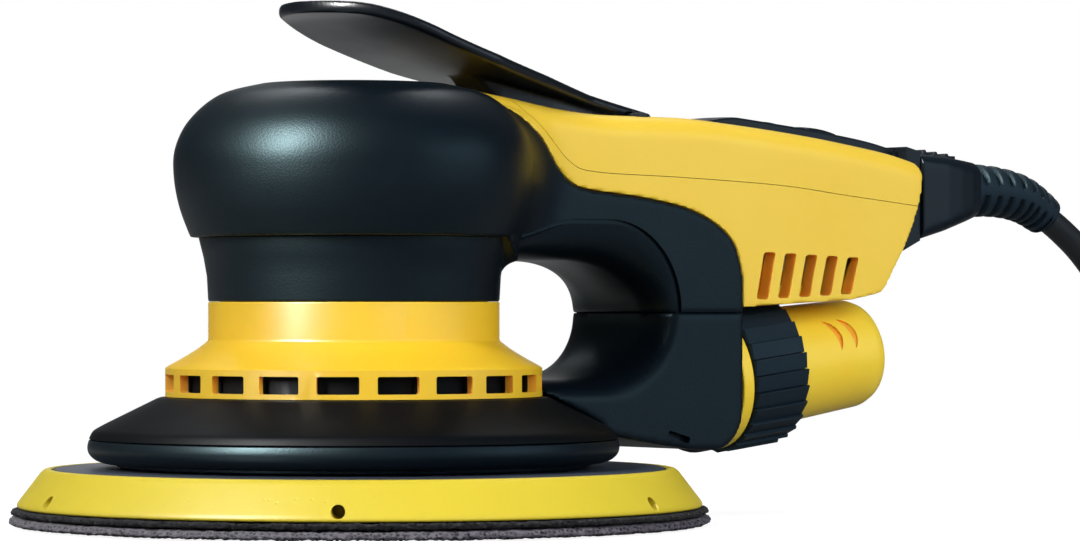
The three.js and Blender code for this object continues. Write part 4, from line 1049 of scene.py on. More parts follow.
@dataclass
class Studio:
    """The camera, the lamps, the floor and the world."""

    heading: float = 37.0  # degrees the camera looks away from +Y, towards +X
    distance: float = 968.0  # from the motor's axis, in mm
    aside: float = 40.0  # how far the camera stands to the side of the axis
    height: float = 47.5
    lens: float = 150.0
    rise: float = 0.029  # upward shift of the frame
    floor_drop: float = 0.0004  # below the object, in m
    floor_albedo: float = 0.22
    floor_glow: float = 0.88  # what the camera sees beyond the light that falls on the floor
    floor_mirrored: float = 0.28  # how much of that glossy surfaces show
    ambient: float = 0.39
    sky: Four = (0.82, 0.92, 1.0, 1.0)
    dim_side: float = 0.06  # what glossy surfaces see of the dim room before the object
    behind: tuple[float, float] = (0.94, 1.0)  # cosines to the camera's view between which it turns white
    level_floor: tuple[float, float] = (0.3, 0.75)  # the floor fades to plain white between these, in m
    middle: Place = (0.04, 0.0, 0.05)
    lamps: tuple[Lamp, ...] = (
        Lamp("key", (-0.7, -0.72, 0.78), (0.24, 0.4), 11.5),
        Lamp("glint", (-0.7, -0.72, 0.62), (0.22, 0.72), 56.0, diffuse=False),
        Lamp("fill", (0.85, -0.95, 0.5), (0.9, 0.7), 12.5, glossy=False),
        Lamp("sheen", (1.05, -0.3, 0.22), (0.8, 0.8), 3.0, diffuse=False, colour=(0.72, 0.88, 1.0)),
        Lamp("rim", (-0.05, 0.8, 1.1), (0.9, 0.2), 5.0),
    )

    def build(self) -> None:
        """Makes everything in the studio."""
        self.camera()
        self.floor()
        self.world()
        self.lights()
        bpy.context.scene.view_settings.view_transform = "Standard"

    def axes(self) -> tuple[Vector, Vector]:
        """The camera's right and forward directions."""
        angle = math.radians(self.heading)
        return Vector((math.cos(angle), -math.sin(angle), 0)), Vector((math.sin(angle), math.cos(angle), 0))

    def camera(self) -> None:
        """A level camera with a long lens, at the height of the motor."""
        right, forward = self.axes()
        data = bpy.data.cameras.new("camera")
        data.lens = self.lens
        data.sensor_width = 36.0
        data.shift_y = self.rise
        data.clip_start = 0.05
        data.clip_end = 20.0
        made = linked("camera", data)
        made.location = (right * self.aside - forward * self.distance) * MM + Vector((0, 0, self.height * MM))
        made.rotation_mode = "QUATERNION"
        made.rotation_quaternion = forward.to_track_quat("-Z", "Y")
        bpy.context.scene.camera = made

    def backdrop_share(
        self, tree: bpy.types.NodeTree, cosine: Socket, mirrored_share: float = 1.0
    ) -> Socket:
        """How much of the white backdrop a ray meets.

        Args:
            tree: The node tree of the floor or the world.
            cosine: How far the ray heads, or the floor lies, to the back of the studio.
            mirrored_share: How bright glossy and clear surfaces show it, of what the camera sees.

        Returns:
            One for the camera, up to mirrored_share for mirrored and clear rays to the back, and zero for all
            other light.
        """
        rays = add_node(tree, "LightPath").outputs
        mirrored = add_node(
            tree, "Math", {0: rays["Is Glossy Ray"], 1: rays["Is Transmission Ray"]}, operation="MAXIMUM"
        )
        start, full = self.behind
        back = add_node(tree, "MapRange", {"Value": cosine, 1: start, 2: full, 4: mirrored_share})
        shown = add_node(
            tree, "Math", {0: mirrored.outputs[0], 1: back.outputs["Result"]}, operation="MULTIPLY"
        )
        share = add_node(tree, "Math", {0: rays["Is Camera Ray"], 1: shown.outputs[0]}, operation="MAXIMUM")
        return share.outputs[0]

    def floor(self) -> None:
        """A wide floor that is white to the camera and keeps the object's soft shadow."""
        bm = bmesh.new()
        bmesh.ops.create_grid(bm, x_segments=1, y_segments=1, size=6.0)
        mesh = bpy.data.meshes.new("floor")
        bm.to_mesh(mesh)
        bm.free()
        material = bpy.data.materials.new("studio_floor")
        material.use_nodes = True
        tree = material.node_tree
        shader = tree.nodes["Principled BSDF"]
        shader.inputs["Roughness"].default_value = 0.8
        shader.inputs["Specular IOR Level"].default_value = 0.0
        shader.inputs["Base Color"].default_value = (self.floor_albedo,) * 3 + (1.0,)
        shader.inputs["Emission Color"].default_value = WHITE
        place = add_node(tree, "TexCoord").outputs["Object"]
        unit = add_node(tree, "VectorMath", {0: place}, operation="NORMALIZE")
        heading = add_node(
            tree, "VectorMath", {0: unit.outputs["Vector"], 1: tuple(self.axes()[1])}, operation="DOT_PRODUCT"
        )
        seen = self.backdrop_share(tree, heading.outputs["Value"], self.floor_mirrored)
        glow = add_node(tree, "Math", {0: seen, 1: self.floor_glow}, operation="MULTIPLY")
        tree.links.new(glow.outputs[0], shader.inputs["Emission Strength"])
        reach = add_node(tree, "VectorMath", {0: place}, operation="LENGTH")
        near, far = self.level_floor
        share = add_node(
            tree,
            "MapRange",
            {"Value": reach.outputs["Value"], 1: near, 2: far},
            interpolation_type="SMOOTHSTEP",
        )
        faded = add_node(tree, "Math", {0: share.outputs["Result"], 1: seen}, operation="MULTIPLY")
        plain = add_node(tree, "Emission", {"Color": WHITE, "Strength": 1.0})
        mixed = add_node(
            tree, "MixShader", {0: faded.outputs[0], 1: shader.outputs["BSDF"], 2: plain.outputs[0]}
        )
        tree.links.new(mixed.outputs[0], tree.nodes["Material Output"].inputs["Surface"])
        mesh.materials.append(material)
        made = linked("floor", mesh)
        made.location.z = -self.floor_drop

    def world(self) -> None:
        """Pale light from all round, a dim room in reflections, and pure white behind the object."""
        world = bpy.data.worlds.new("studio")
        bpy.context.scene.world = world
        world.use_nodes = True
        tree = world.node_tree
        ambient = tree.nodes["Background"]
        ambient.inputs["Color"].default_value = self.sky
        mirror = add_node(tree, "LightPath").outputs["Is Glossy Ray"]
        level = add_node(tree, "MapRange", {"Value": mirror, 3: self.ambient, 4: self.dim_side})
        tree.links.new(level.outputs["Result"], ambient.inputs["Strength"])
        backdrop = add_node(tree, "Background", {"Color": WHITE, "Strength": 1.0})
        heading = add_node(
            tree,
            "VectorMath",
            {0: add_node(tree, "TexCoord").outputs["Generated"], 1: tuple(self.axes()[1])},
            operation="DOT_PRODUCT",
        )
        share = self.backdrop_share(tree, heading.outputs["Value"])
        mixed = add_node(tree, "MixShader", {0: share, 1: ambient.outputs[0], 2: backdrop.outputs[0]})
        tree.links.new(mixed.outputs[0], tree.nodes["World Output"].inputs["Surface"])

    def lights(self) -> None:
        """Hangs the lamps, which all point at the tool's middle."""
        right, forward = self.axes()
        for lamp in self.lamps:
            lamp.build(right, forward, Vector(self.middle))


# -------- mains lead


@dataclass
class MainsLead:
    """The lead, from the strain relief down to the floor, wound into a coil under its plug."""

    radius: float = 3.25
    route: tuple[Point, ...] = (
        (202.9, 68.2), (209, 64.4), (216, 59), (225, 49.6), (234, 38.6), (242, 28), (250, 18), (258.5, 9.6),
        (267, 4.9), (276, 3.4),
    )
    coil: Point = (302.0, -48.75)
    turn_radii: tuple[float, ...] = (48.75, 42.25, 35.75, 29.25)
    layers: int = 4
    bottom: float = 3.4
    points_per_turn: int = 20
    rise: tuple[Place, ...] = (
        (43.5, 20.5, 24.1), (47.6, 8.0, 26.6), (48.0, -4.5, 29.4), (44.9, -17.0, 31.9), (38.0, -28.0, 33.0),
        (29.0, -36.0, 33.15), (22.5, -38.6, 33.15), (17.0, -39.0, 33.15),
    )  # from the coil's middle, up to the plug
    plug_rear: Place = (322.0, -87.75, 33.15)
    plug_half: float = 17.6
    plug_thick: float = 6.85
    length: float = 3.88

    def turn(self, start: float, end: float, low: float, climb: float) -> list[Vector]:
        """One turn of the coil, clockwise from the side that the lead arrives on.

        Args:
            start: The turn's radius at its start.
            end: Its radius at its end, reached in the last quarter.
            low: Its height.
            climb: How far it climbs in the third quarter.

        Returns:
            Its points, without the last one.
        """
        made = []
        for i in range(self.points_per_turn):
            share = i / self.points_per_turn
            inwards = soft_step((share - 0.74) / 0.24)
            lift = soft_step((share - 0.46) / 0.27)
            x, y = polar(start + (end - start) * inwards, 90 - 360 * share)
            made.append(Vector((self.coil[0] + x, self.coil[1] + y, low + climb * lift)))
        return made

    def coil_points(self) -> list[Vector]:
        """All the turns, layer on layer, and the way up to the plug.

        Returns:
            The points in order, in millimetres.
        """
        pitch = 2 * self.radius + 0.02
        made: list[Vector] = []
        for layer in range(self.layers):
            radii = self.turn_radii if layer % 2 == 0 else self.turn_radii[::-1]
            low = self.bottom + layer * pitch
            last_layer = layer == self.layers - 1
            for k, radius in enumerate(radii):
                last_turn = k == len(radii) - 1
                following = radius if last_turn else radii[k + 1]
                turn = self.turn(radius, following, low, pitch if last_turn and not last_layer else 0.0)
                if last_turn and last_layer:
                    turn = turn[: int(self.points_per_turn * 0.12)]
                made += turn
        return made + [Vector(self.coil + (0,)) + Vector(point) for point in self.rise]

    def points(self) -> list[Vector]:
        """The lead's whole route.

        Returns:
            The points in order, in millimetres.
        """
        down = [Vector((x, 0, z)) for x, z in smooth_line(self.route, 22)]
        lead_in = [Vector((x, 0, self.bottom)) for x in (284.5, 293.5)]
        return down + lead_in + self.coil_points()

    def build(self) -> None:
        data = bpy.data.curves.new("mains_lead", "CURVE")
        data.dimensions = "3D"
        data.bevel_depth = self.radius * MM
        data.bevel_resolution = 5
        data.resolution_u = 3
        data.use_fill_caps = True
        spline = data.splines.new("BEZIER")
        route = self.points()
        spline.bezier_points.add(len(route) - 1)
        for knot, place in zip(spline.bezier_points, route):
            knot.co = place * MM
            knot.handle_left_type = knot.handle_right_type = "AUTO"
        data.materials.append(JACKET.build())
        lead = linked("mains_lead", data)
        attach(lead, "tool")
        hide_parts("cord", "cord_coil")
        plug = self.plug()
        measured = sum((b - a).length for a, b in zip(route, route[1:]))
        log.info("the lead's route is %.3f m", measured * MM)

    def plug(self) -> bpy.types.Object:
        """A moulded two-pin plug whose neck tapers to the lead.

        Returns:
            The plug's piece.
        """
        half, thick = self.plug_half, self.plug_thick
        stations = (
            (0, 4.1, 4.4), (3, 4.5, 4.6), (7, 5.2, 5.0), (10.5, 7.4, 5.8), (14, 11.4, 6.5), (18, 15.4, thick),
            (23, half, thick), (29, half, thick), (35.4, half, thick), (36, half - 0.5, thick - 0.5),
        )
        rings = []
        for x, wide, high in stations:
            corner = min(wide, high) * 0.85
            rings.append(section(x, wide, -high, high, corner, corner))
        body = Solid(lofted(rings)).moulded(0.6, 3)
        body.mesh.transform(Matrix.Translation(self.plug_rear) @ about("Z", 180))
        return piece("plug_moulding", body, SOFT_BLACK, "tool", "plug_body")


# -------- sanding pad


@dataclass
class SandingPad:
    """The backing pad on its eccentric spindle, with a disc of abrasive net on its hooks."""

    centre: tuple[float, float] = (0.0, -2.5)
    radius: float = 75.0
    plate_radius: float = 65.7
    hole_angles: tuple[float, ...] = tuple(231.7 + 60 * k for k in range(6))
    air_hole: float = 1.45  # radius of the small holes in the foam's rim
    air_place: Place = (71.0, 0.0, 5.75)
    well: float = 9.0
    dust_holes: int = 8
    dust_radius: float = 5.0
    dust_circle: float = 46.0
    ragged: float = 0.9  # how far the nap and the net fray at their rims

    def centred(self, solid: Solid) -> Solid:
        """Moves a solid onto the pad's axis."""
        solid.mesh.transform(moved(*self.centre, 0))
        return solid

    def dust_rods(self, low: float, high: float) -> list[Solid]:
        """Cutters for the ring of dust holes.

        Args:
            low: The height of their bottoms.
            high: The height of their tops.

        Returns:
            One solid for each hole.
        """
        angles = (22.5 + 360 / self.dust_holes * k for k in range(self.dust_holes))
        places = [polar(self.dust_circle, angle) for angle in angles]
        return [Solid(rod(self.dust_radius, low, high, *place, steps=32)) for place in places]

    def build(self) -> None:
        """Makes the pad's visible pieces and dresses the rest."""
        piece("cast_foam_pad", self.foam(), PAD_YELLOW, "pad", "pad_foam")
        piece("backing_plate", self.plate(), SLATE, "pad", "pad_plate")
        piece("hook_nap", self.nap(), FELT, "pad", "hook_layer", angle=70)
        piece("abrasive_net", self.net(), GRIT, "pad", "abrasive_disc", angle=70)
        dress_nodes(STEEL, "pad_washer", "pad_screw", "pad_spindle")

    def foam(self) -> Solid:
        """The foam's bevelled rim, with the air holes that open between its dust channels.

        Returns:
            The foam on the pad's axis.
        """
        profile = rounded(
            [
                (self.well, 3.7), (73.2, 3.7), (73.4, 4.5), (68.2, 11.3), (67.4, 11.9), (66.0, 11.9),
                (66.0, 9.1), (20.3, 9.1), (20.3, 8.1), (self.well, 8.1),
            ],
            {1: 0.5, 2: 1.0, 3: 0.5, 4: 0.4, 5: 0.3},
        )
        body = Solid(turned(profile, 224))
        tools = self.dust_rods(2, 12)
        for angle in self.hole_angles:
            hole = placed(
                rod(self.air_hole, -9, 9, steps=24),
                about("Y", 90),
                Matrix.Translation(self.air_place),
                about("Z", angle),
            )
            tools.append(Solid(hole))
        return self.centred(body.cut(*tools))

    def plate(self) -> Solid:
        """The stiff plate moulded into the foam.

        Returns:
            The plate on the pad's axis.
        """
        profile = rounded(
            [
                (4.3, 8.4), (20, 8.4), (20, 9.4), (self.plate_radius, 9.4), (self.plate_radius, 11.9),
                (22, 11.9), (20.5, 11.4), (4.3, 11.4),
            ],
            {4: 0.5},
        )
        return self.centred(Solid(turned(profile, 160)).cut(*self.dust_rods(7, 13)))

    def frayed(self, profile: Outline, seed: int) -> Solid:
        """Turns a profile and roughens its rim, as cut cloth is.

        Args:
            profile: The profile as (radius, height).
            seed: What the random roughness starts from.

        Returns:
            The cloth on the pad's axis.
        """
        bm = turned(profile, 900)
        dice = random.Random(seed)
        edge = self.radius - 3.0
        for vert in bm.verts:
            reach = math.hypot(vert.co.x, vert.co.y)
            if reach > edge:
                push = self.ragged * (dice.random() - 0.75)
                vert.co.x += vert.co.x / reach * push
                vert.co.y += vert.co.y / reach * push
                vert.co.z += self.ragged * 0.45 * (dice.random() - 0.5)
        return self.centred(Solid(bm))

    def nap(self) -> Solid:
        """The hook layer under the foam.

        Returns:
            The layer with its dust holes.
        """
        profile = [
            (self.well, 2.15), (60, 2.15), (72.6, 2.2), (73.8, 2.2), (74.4, 2.5), (74.5, 2.9), (74.2, 3.3),
            (73.6, 3.4), (60, 3.4), (self.well, 3.4),
        ]
        return self.frayed(profile, 5).cut(*[self.centred(tool) for tool in self.dust_rods(1, 4)])

    def net(self) -> Solid:
        """The abrasive net, cut a hair wider than the foam.

        Returns:
            The disc on the pad's axis.
        """
        profile = [
            (0, 0.05), (60, 0.05), (72.8, 0.05), (74.3, 0.2), (74.9, 0.55), (75.0, 0.95), (74.8, 1.35),
            (74.2, 1.7), (72.8, 1.8), (60, 1.8), (0, 1.8),
        ]
        return self.frayed(profile, 9)


# -------- shroud and motor housing


@dataclass
class Shroud:
    """The conical guard over the pad, its soft lip and the brake seal under it."""

    top: float = 27.1
    top_radius: float = 41.7
    radius: float = 56.8
    seam: float = 18.2
    screw_circle: float = 36.0
    screw_phase: float = 101.6

    def build(self) -> None:
        """Makes the guard, the lip and the seal."""
        cone = rounded(
            [
                (21, self.top), (self.top_radius, self.top), (53.5, 21.3), (56.0, 19.9),
                (self.radius, self.seam), (self.radius - 2, self.seam), (53, 19),
                (self.top_radius - 1.6, self.top - 2.2), (21, self.top - 2.2),
            ],
            {1: 0.8, 2: 1.4, 3: 0.8, 4: 0.25},
        )
        guard = Solid(turned(cone, 192))
        window = rounded([(-13.5, 19.6), (13.5, 19.6), (13.5, 24.6), (-13.5, 24.6)], {2: 1.5, 3: 1.5})
        across = about("Z", 90)
        port = placed(prism(window, 13), across, moved(49, 0, 0))
        guard.cut(Solid(port))
        guard.cut(*[Solid(rod(1.8, 20, 30, *place, steps=24)) for place in self.screws()])
        piece("pad_guard", guard, GUARD_AND_SHADE_BLACK, "tool", "shroud")
        lip = rounded(
            [
                (51.2, 13.0), (53.6, 13.0), (55.6, 13.7), (56.9, 15.0), (57.2, 16.4), (self.radius, 18.0),
                (51.2, 18.0),
            ],
            {1: 0.5, 2: 0.8, 3: 0.8, 4: 0.8, 5: 0.3},
        )
        piece("guard_lip", turned(lip, 192), SOFT_BLACK, "tool", "shroud_lip")
        seal = rounded([(48.5, 12.2), (50.9, 12.2), (50.9, 17.9), (48.5, 17.9)], {0: 0.5, 1: 0.5})
        piece("pad_brake_seal", turned(seal, 160), RUBBER, "tool", "brake_seal")

    @classmethod
    def screws(cls) -> list[Point]:
        """The places of the three screws that hold the guard to the motor housing."""
        return [polar(cls.screw_circle, cls.screw_phase + 120 * k) for k in range(3)]


@dataclass
class MotorHousing:
    """The bright housing between the shroud and the grip, with a ring of windows for the cooling air."""

    vent_radius: float = 40.5
    vent_bottom: float = 27.25
    vent_top: float = 33.3
    vent_wall: float = 2.1
    neck_radius: float = 31.3
    neck_bottom: float = 39.2
    neck_top: float = 47.5
    windows: int = 20
    window: tuple[float, float] = (8.9, 3.7)
    window_phase: float = 14.6

    def build(self) -> None:
        """Makes the housing, with painted shade: black inside behind its windows and a deeper yellow on their
        walls.
        """
        inner = self.vent_radius - self.vent_wall
        profile = [
            (self.vent_radius, self.vent_bottom), (self.vent_radius, self.vent_top),
            (self.vent_radius - 0.6, self.vent_top + 0.5), (37.4, 35.1), (33.6, 37.4),
            (self.neck_radius, self.neck_bottom), (self.neck_radius, self.neck_top), (28.8, self.neck_top),
            (28.8, 77.2), (27.0, 77.2), (27.0, 49.4), (24.5, 49.4), (24.5, 43.8), (14.3, 43.8), (14.3, 34.6),
            (11.3, 34.6), (11.3, 33.6), (17.3, 33.6), (17.3, 41.0), (28.6, 41.0), (28.6, 38.3), (31.4, 35.6),
            (inner, 32.6), (inner, self.vent_bottom),
        ]
        shaped = rounded(profile, {2: 0.8, 3: 2.0, 4: 1.2, 5: 0.5, 6: 0.3})
        body = Solid(turned(shaped, 192))
        screws = Shroud.screws()
        body.add(*[Solid(rod(3.2, self.vent_bottom, self.vent_top, *place, steps=24)) for place in screws])
        outline = all_round(rectangle(*self.window), 0.5)
        tools = [Solid(rod(1.8, 26, 32.5, *place, steps=16)) for place in screws]
        for k in range(self.windows):
            tool = placed(
                prism(outline, self.vent_wall),
                about("Z", 90),
                moved(self.vent_radius - 0.2, 0, self.vent_bottom + 2.9),
                about("Z", self.window_phase + 360 / self.windows * k),
            )
            tools.append(Solid(tool))
        body.cut(*tools)
        # A thin sheet behind the windows that stands in for the dark inside of the housing; it is painted
        # black as shade.
        screen = [(inner - 1.4, 27.3), (inner - 0.7, 27.3), (inner - 0.7, 33.3), (inner - 1.4, 33.3)]
        body.add(Solid(turned(screen, 160)))
        made = piece("vented_motor_housing", body.eased(0.22, 2), HOUSING_YELLOW, "tool", "motor_housing")

        def inside(at: Vector) -> bool:
            """Whether a point is on the inner wall or the screen behind the windows, which are painted black
            as shade.
            """
            return at.z < 38 and math.hypot(at.x, at.y) < inner + 0.05 - max(0.0, at.z - 32) * 1.2

        def reveal(at: Vector) -> bool:
            """Whether a point is on the thickness of the wall in a window, which is painted a deeper yellow
            as shade.
            """
            return at.z < 32.6 and inner + 0.1 < math.hypot(at.x, at.y) < self.vent_radius - 0.3

        # Painted shade: black on the inner wall and the screen, a deeper yellow on the windows' walls.
        tint(made, GUARD_AND_SHADE_BLACK, inside)
        tint(made, PAINTED_SHADE_YELLOW, reveal)


# -------- casing, shared by the grip and the tail


@dataclass
class Casing:
    """The outer forms of the head, the tail and the hand gap, and the lines where their pieces part."""

    head_top: float = 94.3
    lip_radius: float = 35.1
    lip_height: float = 61.3
    sleeve_radius: float = 33.3
    head_cavity: float = 31.6
    head_wall: float = 3.8
    tail_half: float = 18.5
    tail_wall: float = 2.4
    tail_edge: float = 5.0
    tail_crown: float = 0.5
    tail_start: float = 20.0
    cap_start: float = 15.0  # where the yellow begins over the head
    fillet: float = 25.0  # radius of the hollow curve from the head into the tail's sides
    proud: float = 0.4
    seam: float = 45.0
    grip_rear: float = 93.2
    gap_middle: Four = (49.5, 43.5, 21.4, 13.0)  # x, z and reaches in the middle
    gap_rim: Four = (55.2, 45.6, 19.3, 19.3)  # and at the tail's sides
    gap_depth: float = 10.0
    gap_front: float = 12.0
    gap_rise: float = 3.6  # the upper edge climbs by this in an S from the head's lip
    above: float = 120.0
    trough_half: float = 11.3
    trough_floor: float = 84.5
    trough: Point = (27.0, 76.5)
    head_line: Outline = field(
        default_factory=lambda: smooth_line(
            [(20, 94.3), (28.9, 91.9), (35.3, 86.6), (38.4, 80.5), (38.7, 74.5), (37.5, 67.8), (35.1, 61.3)],
            48,
        )
    )
    top_line: Outline = field(
        default_factory=lambda: smooth_line(
            [
                (20, 93.7), (30, 92.4), (42, 90.5), (54, 89.3), (66, 89.1), (80, 89), (92, 88.1), (104, 87),
                (116, 85.7), (128, 84.1), (140, 82.2), (150, 79.8),
            ],
            80,
        )
    )
    grip_line: Outline = field(
        default_factory=lambda: smooth_line(
            [
                (14.6, 94.8), (18, 93), (21.4, 91.3), (28.6, 87.8), (35.4, 83), (39.8, 77.7), (44.7, 73.6),
                (50, 72), (66, 70.3), (80, 67.4), (90, 61.5), (93.2, 53),
            ],
            88,
        )
        + [(93.2, 44)]
    )
    cover_line: Outline = field(
        default_factory=lambda: smooth_line(
            [
                (14, 106.5), (26, 95), (37, 84.4), (44.5, 77.9), (52, 75.9), (76, 75.1), (104, 73.8),
                (124, 71.8), (152, 69),
            ],
            96,
        )
    )

    def tail_top(self, x: float) -> float:
        """Height of the tail's top."""
        return along(self.top_line, x)

    def head_radius(self, z: float) -> float:
        """The head's radius at a height, and its lip's below that."""
        return along([(height, radius) for radius, height in reversed(self.head_line)], z)

    def tail(self, low: float, grow: float) -> Solid:
        """The tail's outer form from a height up, grown all round, with the curves that lead to the head.

        Args:
            low: Its bottom's height.
            grow: How far it is grown.

        Returns:
            The form, which is filled.
        """
        edge, crown = self.tail_edge + grow, self.tail_crown
        rings = [
            section(x, self.tail_half + grow, low, self.tail_top(x) + grow - crown, 3, edge, crown)
            for x in (self.tail_start + 1.5 * i for i in range(88))
        ]
        return Solid(lofted(rings)).add(self.blend(grow))

    def blend(self, grow: float) -> Solid:
        """The hollow curves between the round head and the tail's flat sides, slice over slice.

        Args:
            grow: How far the tail is grown.

        Returns:
            The filled form between the curves.
        """
        low, high, slices = 46.0, 89.7, 44
        edge = self.tail_edge
        rings = []
        for i in range(slices + 1):
            z = low + (high - low) * i / slices
            over = max(0.0, z - (high - edge))
            half = self.tail_half + grow - edge + math.sqrt(max(0.0, edge**2 - over**2))
            reach = half + self.fillet
            centre = math.sqrt((self.head_radius(z) + self.fillet) ** 2 - reach**2)
            start = 180 + math.degrees(math.atan2(reach, centre))
            curve = arc(centre, reach, self.fillet, start, 270, 20)
            rings.append([(x, y, z) for x, y in curve] + [(x, -y, z) for x, y in reversed(curve)])
        return Solid(lofted(rings))

    def head_form(self) -> Solid:
        """The head's outer form, filled."""
        return Solid(turned([(0, self.head_top), *self.head_line, (0, self.lip_height)], 192))

    def head_room(self) -> Solid:
        """The room inside the head, over the motor.

        Returns:
            The room as a solid, to cut with.
        """
        top, wide = self.head_top - self.head_wall, self.head_cavity
        profile = [(0, top), (wide - 4, top), (wide, top - 4), (wide, 40), (0, 40)]
        return Solid(turned(profile, 160))

    def gap_ring(self, share: float, y: float) -> list[Place]:
        """One ring of the hand gap: an upper edge that runs back in an S, a round rear and a flat bottom.

        Args:
            share: How far the rim has rolled out, from 0 in the middle to 1 at the side.
            y: Where the ring stands across the tail.

        Returns:
            The ring's points.
        """
        x, z, wide, high = (a + (b - a) * share for a, b in zip(self.gap_middle, self.gap_rim))
        upper = []
        for i in range(24):
            at = self.gap_front + (x - self.gap_front) * i / 24
            upper.append((at, z + high - self.gap_rise * share * (1 - soft_step((at - 28) / 18))))
        points = [*upper, *oval(x, z, wide, high, 90, -90, 48), (self.gap_front, z - high)]
        return [(px, y, pz) for px, pz in points]

    def hand_gap(self) -> Solid:
        """The hand gap, whose rim rolls out to the tail's sides.

        Returns:
            The gap as a solid, to cut with.
        """
        middle = self.tail_half - self.gap_depth
        reach = self.gap_depth + self.proud
        steps: Outline = [(0.0, 0.0)]
        for i in range(1, 15):
            share = i / 14
            steps.append((middle + reach * share, 1 - math.sqrt(max(0.0, 1 - share**2))))
        steps.append((self.tail_half + 12, 1.0))
        near = [self.gap_ring(share, -y) for y, share in reversed(steps)]
        far = [self.gap_ring(share, y) for y, share in steps[1:]]
        return Solid(lofted(near + far))

    def trough_cut(self) -> Solid:
        """The room that the lever's web sinks into.

        Returns:
            The room as a solid, to cut with.
        """
        front, rear = self.trough
        low = self.trough_floor
        outline = [(front, 93), (front + 8, low), (rear, low), (rear, 99), (front, 99)]
        return Solid(prism(outline, self.trough_half))

    def lead_way(self, front: float, rear: float) -> Solid:
        """The way for the motor's wires, from the head into the tail."""
        return Solid(block(front, rear, -7, 7, 76.4, 79.6))

    def yellow_side(self, shift: float) -> Solid:
        """Everything behind and above the grip's line, down to the tail's floor, with a gap to the grip.

        Args:
            shift: How far the side's edge stays off the line, for the gap to the other piece.

        Returns:
            A solid to keep within.
        """
        start = self.cap_start
        line = [(x, z) for x, z in offset(self.grip_line, shift) if x > start and z > 46.3]
        rear = [
            (147.5, 78.5), (147.4, 76), (146, 70), (142.6, 61.8), (137.9, 54.3), (135.6, 50.8), (134.2, 49.6),
            (131, 48.9),
        ]
        outline = [
            *line, (self.grip_rear + shift, 46.3), (self.grip_rear + GAP, 46.3), (126, 48),
            *reversed(smooth_line(rear, 35)), (147.5, self.above), (start, self.above),
        ]
        return Solid(prism(outline, 40))

    def black_side(self, shift: float, low: float) -> Solid:
        """Everything before and below the grip's line, down to the seam over the duct."""
        line = [(x, z) for x, z in offset(self.grip_line, -shift) if z > low]
        return Solid(prism([*line, (self.grip_rear - shift, low), (14, low)], 40))

    def over_grip(self, shift: float) -> Solid:
        """What the tail takes of the head's form: all over the grip's line, behind the tail's start."""
        line = [(x, z) for x, z in offset(self.grip_line, -shift) if x > self.cap_start]
        return Solid(prism([*line, (self.grip_rear, self.above), (self.cap_start, self.above)], 40))

    def cover_side(self, shift: float) -> Solid:
        """Everything above the cover's line."""
        return Solid(prism([*offset(self.cover_line, shift), (160, self.above), (18, self.above)], 41))

    def housing_side(self, shift: float) -> Solid:
        """Everything below the cover's line."""
        return Solid(prism([*offset(self.cover_line, -shift), (160, 30), (18, 30)], 41))


@dataclass
class HeadGrip:
    """The black grip over the motor with the arch that runs back from it, and the sleeve under it."""

    casing: Casing
    seam: float = 0.06  # half the hair line between the grip and the yellow tail
    lap: float = 0.04  # the grip meets the duct a little below their seam, so that no light passes
    groove: tuple[float, float] = (1.0, 0.9)  # width and depth of the line round the hand gap's upper rim

    def build(self) -> None:
        """Makes the grip and the sleeve."""
        piece("head_and_arch_grip", self.grip(), SOFT_BLACK, "tool", "head_grip", angle=50)
        sleeve = turned(rounded(self.sleeve(0.0, 61.2), {1: 0.5}), 160)
        piece("neck_sleeve", sleeve, SOFT_BLACK, "tool", "grip_sleeve")

    def sleeve(self, grow: float, top: float) -> Outline:
        """The sleeve's profile, grown outwards, up to a height.

        Args:
            grow: How far it is grown.
            top: That height.

        Returns:
            The profile as (radius, height).
        """
        wide = self.casing.sleeve_radius
        bottom = 47.55
        return [
            (29.1, bottom), (31.3 + grow, bottom), (31.6 + grow, 53), (32.3 + grow, 57), (wide + grow, 61.0),
            (wide + grow, top), (29.1, top),
        ]

    def grip(self) -> Solid:
        """The head and the arch as one soft moulding.

        Returns:
            The grip.
        """
        form = self.casing
        head = form.head_form().cut(form.head_room(), form.over_grip(self.seam))
        arch = form.tail(20, form.proud).keep(form.black_side(self.seam, form.seam - self.lap))
        arch.cut(form.hand_gap(), form.head_room())
        head.add(arch).cut(Solid(turned(self.sleeve(0.12, form.lip_height), 160))).add(self.root())
        pillar = Solid(prism([(78.5, 40), (90.6, 40), (90.6, 56), (86, 61.5), (80, 62)], form.tail_half - 3))
        head.cut(pillar, form.trough_cut(), form.lead_way(28, 50))
        head.moulded(0.62, 5)
        return head.cut(*[self.rim_line(side) for side in (-1, 1)])

    def root(self) -> Solid:
        """The arch's rounded root, which runs down its underside into the sleeve and fades at its sides.

        Returns:
            The root, to join to the grip.
        """
        low, curve, span, fade = 52.2, 4.0, 55.0, 16.0
        outer = self.casing.lip_radius + 0.2
        inner = outer - curve - 0.5
        top = self.casing.lip_height + 0.2
        ring = turned([(inner, low), *arc(outer, low, curve, 180, 90, 12), (outer, top), (inner, top)], 240)
        for vert in ring.verts:
            beyond = (abs(math.degrees(math.atan2(vert.co.y, vert.co.x))) - span + fade) / fade
            share = 1 - min(max(beyond, 0.0), 0.98)
            vert.co.z = top - (top - vert.co.z) * share
        return Solid(ring).keep(Solid(block(15, 60, -30, 30, 40, 70)))

    def rim_line(self, side: int) -> Solid:
        """A sunk line round the upper rim of the hand gap, from the head's lip to the seam over the duct.

        Args:
            side: Minus one for the left, one for the right.

        Returns:
            A solid to cut with.
        """
        form = self.casing
        x, z, radius, _ = form.gap_rim
        upper = [(px, pz + 0.2) for px, _, pz in form.gap_ring(1.0, 0.0)[9:24]]
        path = upper + arc(x, z, radius + 0.2, 88, -2, 24)
        wide, deep = self.groove
        outline = [*offset(path, wide / 2), *reversed(offset(path, -wide / 2))]
        face = form.tail_half + form.proud
        return Solid(placed(prism(outline, 6), moved(0, side * (face - deep + 6), 0)))


